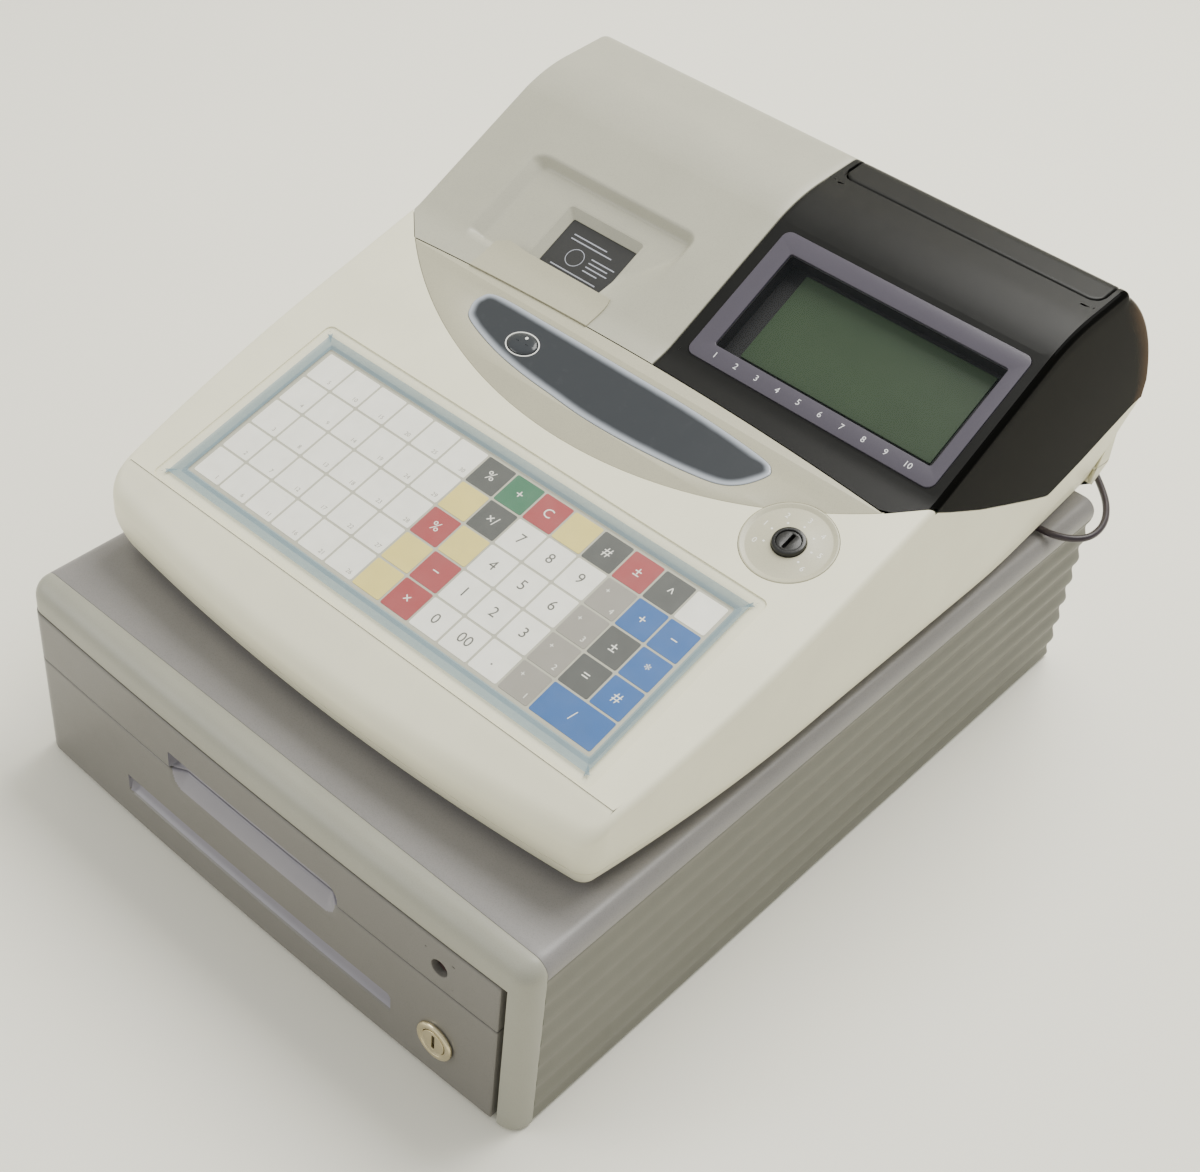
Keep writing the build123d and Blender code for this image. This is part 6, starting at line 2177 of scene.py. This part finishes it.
    def collar(self, draft: Draft) -> None:
        """Ring of face between the indicator's round hole and the square left for it in the grid.

        Args:
            draft: where it goes.
        """
        cx, cz, radius, half = self.lamp
        t = np.linspace(0, 2 * pi, 65)[:-1]
        ring = stack(np.cos(t), np.sin(t))
        square = ring / np.max(np.abs(ring), axis=1, keepdims=True) * half
        rows = [(ring * (radius + 0.5) * (1 - share) + square * share, 0.0)
                for share in (1.0, 0.5, 0.12)]
        rows += [(ring * (radius + grow), depth)
                 for grow, depth in ((0.5, 0.0), (0.14, 0.14), (0.0, 0.5), (0.0, 4.2))]
        draft.grid([stack(cx + flat[:, 0], self.form.face(cx + flat[:, 0]) - self.proud + depth,
                          cz + flat[:, 1]) for flat, depth in rows], wrap_cols=True, flip=True)

    def build(self, palette: Palette) -> None:
        """Make the panel, the strip, the sunken faces of the scoop and slot, and the indicator.

        Args:
            palette: the finishes.
        """
        panel, recess = Draft(), Draft()
        points = self.slab(self.low, self.joint - 0.25)
        s0, s1, _, s3 = self.slot
        self.open_grid(panel, recess, points, (s0 + 1.5, s1 - 1.5, self.slit + 0.2, s3 - 0.5))
        panel.stand_in("drawer_front", "drawer", palette["front grey"], "front_grey", sharp=40.0)
        strip = Draft()
        points = self.slab(self.joint + 0.25, self.high)
        cx, cz, radius, half = self.lamp
        self.open_grid(strip, recess, points, (cx - half, cx + half, cz - half, cz + half))
        self.collar(strip)
        strip.stand_in("front_strip", "drawer", palette["front grey"], "front_grey", sharp=40.0)
        # painted light: the sunken faces get the lighter grey so the scoop and slot ledges look lit
        recess.piece("front_recesses", "drawer", palette["front grey painted lit"], "front_grey", ["drawer_front"],
                     sharp=40.0)
        lens = Draft()
        face = -self.form.face(cx) + self.proud
        Turned(UPRIGHT, cx, cz, 40).build(lens, [(radius, face - 4.0), (radius - 0.3, face - 3.4),
                (radius - 1.2, face - 2.9), (radius - 2.6, face - 2.6), (0.01, face - 2.5)])
        lens.piece("indicator_lens", "drawer", palette["ruby lens"], "smoked")


@dataclass(frozen=True)
class DrawerLock:
    """Cylinder lock: a turned ring and barrel, and the face of the plug with its keyhole."""

    x: float = 117.0
    z: float = 28.0
    face: float = 225.6
    ring: float = 10.5
    body: float = 9.0
    plug: float = 6.6
    length: float = 24.0

    def build(self, palette: Palette) -> None:
        """Make the barrel and the plug's face.

        Args:
            palette: the finishes.
        """
        w, barrel = self.face, Draft()
        Turned(UPRIGHT, self.x, self.z, 96).build(barrel, [(self.body, w - self.length),
                (self.body, w - 1.9), (self.ring, w - 1.8), (self.ring, w - 1.1),
                (self.ring - 0.15, w - 0.6), (self.ring - 0.55, w - 0.2), (self.ring - 1.1, w),
                (self.ring - 2.1, w), (self.ring - 2.5, w - 0.12), (self.ring - 2.8, w - 0.4),
                (self.plug + 0.5, w - 0.45), (self.plug + 0.2, w - 0.7), (self.plug + 0.08, w - 1.2),
                (self.plug + 0.08, w - self.length), (self.body, w - self.length)])
        barrel.stand_in("lock_barrel", "drawer", palette["pale nickel"], "nickel")
        face, plate = Draft(), Plate(UPRIGHT, w - 0.5, w - 0.25, 0.2, 4)
        keyhole = rounded_loop(self.x - 0.95, self.x + 0.95, self.z - 4.5, self.z + 4.5, 0.3, 4)
        plate.build(face, oval_loop(self.x, self.z, self.plug, self.plug), [keyhole])
        face.piece("lock_face", "lock", palette["pale nickel"], "nickel")
        # painted shade: a dark plate behind the keyhole stands for the shade inside the keyway
        shadow = Draft()
        pit = rounded_loop(self.x - 0.9, self.x + 0.9, self.z - 4.4, self.z + 4.4, 0.3, 4)
        shadow.fill(UPRIGHT, w - 3.2, pit)
        shadow.piece("keyhole_inside", "lock", palette["dark inside"], "nickel")


@dataclass(frozen=True)
class CabinetSkin:
    """Top cover and the two waved side panels."""

    form: CabinetForm
    pitch: float = 14.8
    wave: float = 2.0
    front_wave: float = 0.9
    round: float = 8.0
    wall: float = 2.4

    def solidify(self, piece: bpy.types.Object) -> None:
        """Give a sheet its wall thickness on the inside."""
        modifier = piece.modifiers.new("wall", "SOLIDIFY")
        modifier.thickness = self.wall * MM
        modifier.offset = -1.0

    def cover(self, palette: Palette) -> None:
        """Top cover: a section with two rounded edges, drawn from the seam to the rear.

        Args:
            palette: the finishes.
        """
        form, t = self.form, quarter(12)
        side = [(form.half, form.lip + v) for v in (0.15, 0.5)] + [
            (form.half - self.round * (1 - cos(a)), form.top - self.round * (1 - sin(a))) for a in t]
        middle = [(x, form.top) for x in np.linspace(form.half - self.round, -form.half + self.round,
                60)[1:-1]]
        section = np.array(side + middle + [(-x, z) for x, z in side[::-1]])
        normals = left_normals(section)
        rows = []
        for y, inset in [(form.seam + 0.05, 0.25), (form.seam + 0.13, 0.08), (form.seam + 0.4, 0.0)] \
                + [(v, 0.0) for v in np.linspace(-205.0, 214.0, 40)] \
                + [(form.rear - 2.0, 0.0), (form.rear - 0.6, 0.25), (form.rear - 0.1, 0.9)]:
            place = section + normals * inset
            rows.append(stack(place[:, 0], y, place[:, 1]))
        draft = Draft()
        draft.grid(rows, flip=True)
        self.solidify(draft.stand_in("top_cover", "cabinet", palette["cabinet grey"], "cabinet_grey"))

    def sides(self, palette: Palette) -> None:
        """Side panels: x = half - a(y) (1 - cos(2 pi (top - z) / pitch)) / 2, a growing to the rear.

        Args:
            palette: the finishes.
        """
        form, draft = self.form, Draft()
        z = join([2.3, 2.6], np.linspace(3.2, form.lip - 1.0, 120), [form.lip - 0.5, form.lip - 0.3])
        y = join([form.seam + 0.2, form.seam + 0.5], np.linspace(-208.0, 219.0, 50), [220.5, 221.3])
        grid_y, grid_z = np.meshgrid(y, z)
        reach = self.front_wave + (self.wave - self.front_wave) * smooth_step(grid_y, -200.0, 120.0)
        dip = reach * (1 - np.cos(2 * pi * (form.lip - grid_z) / self.pitch)) / 2
        ends = 0.5 * np.clip(1 - (grid_y - y[0]) / 0.4, 0, 1) + 0.8 * np.clip((grid_y - 219.5) / 1.8, 0,
                1) ** 2
        lips = 0.4 * np.clip(1 - (form.lip - 0.3 - grid_z) / 0.5, 0, 1)
        lips = lips + 0.4 * np.clip(1 - (grid_z - 2.3) / 0.6, 0, 1)
        for side in Side:
            points = stack(side.value * (form.half - 0.02 - dip - ends - lips), grid_y, grid_z)
            draft.grid(points, flip=side is Side.LEFT)
        self.solidify(draft.stand_in("side_panels", "cabinet", palette["rib grey"], "rib_grey"))

    def build(self, palette: Palette) -> None:
        """Make the cover and the sides."""
        self.cover(palette)
        self.sides(palette)


FINISH_NODES = {
    "zinc steel": (
        "base_pan clip_rod keyboard_backplate kick_spring latch_lever paper_motor plunger "
        "power_supply runners solenoid thermal_head tray_shelf"),
    "tray black": (
        "cable_reliefs coin_tray note_clip_1 note_clip_2 note_clip_3 note_clip_4 note_tray "
        "printer_frame printer_panel roll_cradle"),
    "satin black": "customer_head display_housing label_lens mains_inlet",
    "gloss black": "customer_window display_side_cover ticket_button",
    "bezel lilac grey": "display_bezel",
    "display glass": "display_window",
    "front grey": "drawer_front front_strip",
    "cabinet grey": "drawer_tub top_cover",
    "bar grey": "front_bezel",
    "ivory case": "key_sheet lower_case upper_case",
    "liquid crystal": "lcd_module",
    "pale nickel": "lock_barrel lock_plug",
    "solder mask green": "main_board",
    "white gear plastic": (
        "motor_pinion roller_front_left roller_front_right roller_rear_left roller_rear_right"),
    "thermal paper": "paper_roll",
    "soft rubber": "platen_roller rubber_feet",
    "grey ivory cover": "printer_cover",
    "rib grey": "side_panels",
    "switch black": "switch_barrel switch_rotor",
    "dial ring": "switch_dial",
    "trim plate": "tear_flap trim_plate",
    "wet cover film": "wet_cover",
}


def dress_nodes(nodes: dict[str, bpy.types.Object], palette: Palette) -> None:
    """Give every carried-over node its finish.

    Args:
        nodes: the nodes' objects, by name.
        palette: the finishes.
    """
    for finish, names in FINISH_NODES.items():
        for name in names.split():
            mesh = nodes[name].data
            mesh.materials.clear()
            mesh.materials.append(palette[finish])
            log.info("%s: carried over, %s", name, finish)


def main() -> None:
    """Build every piece in order, each reported as it is made."""
    logging.basicConfig(level=logging.INFO, format="%(message)s")
    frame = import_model()
    palette = Palette()
    studio = Studio()
    studio.camera()
    ReleaseCable().build(palette)
    studio.floor()
    studio.light()
    dress_nodes(frame["nodes"], palette)
    cabinet = CabinetForm()
    CabinetSkin(cabinet).build(palette)
    FrontBezel(cabinet).build(palette)
    DrawerFront(cabinet).build(palette)
    DrawerLock().build(palette)
    form = RegisterForm()
    shell = CaseShell(form)
    shell.build(palette)
    TrimPlate(shell).build(palette)
    PrinterCover(form).build(palette)
    DisplayHousing(form).build(palette)
    Keyboard().build(palette)
    ModeSwitch().build(palette)
    LabelAndButton().build(palette)
    OperatorDisplay().build(palette)


if __name__ == "__main__":
    main()
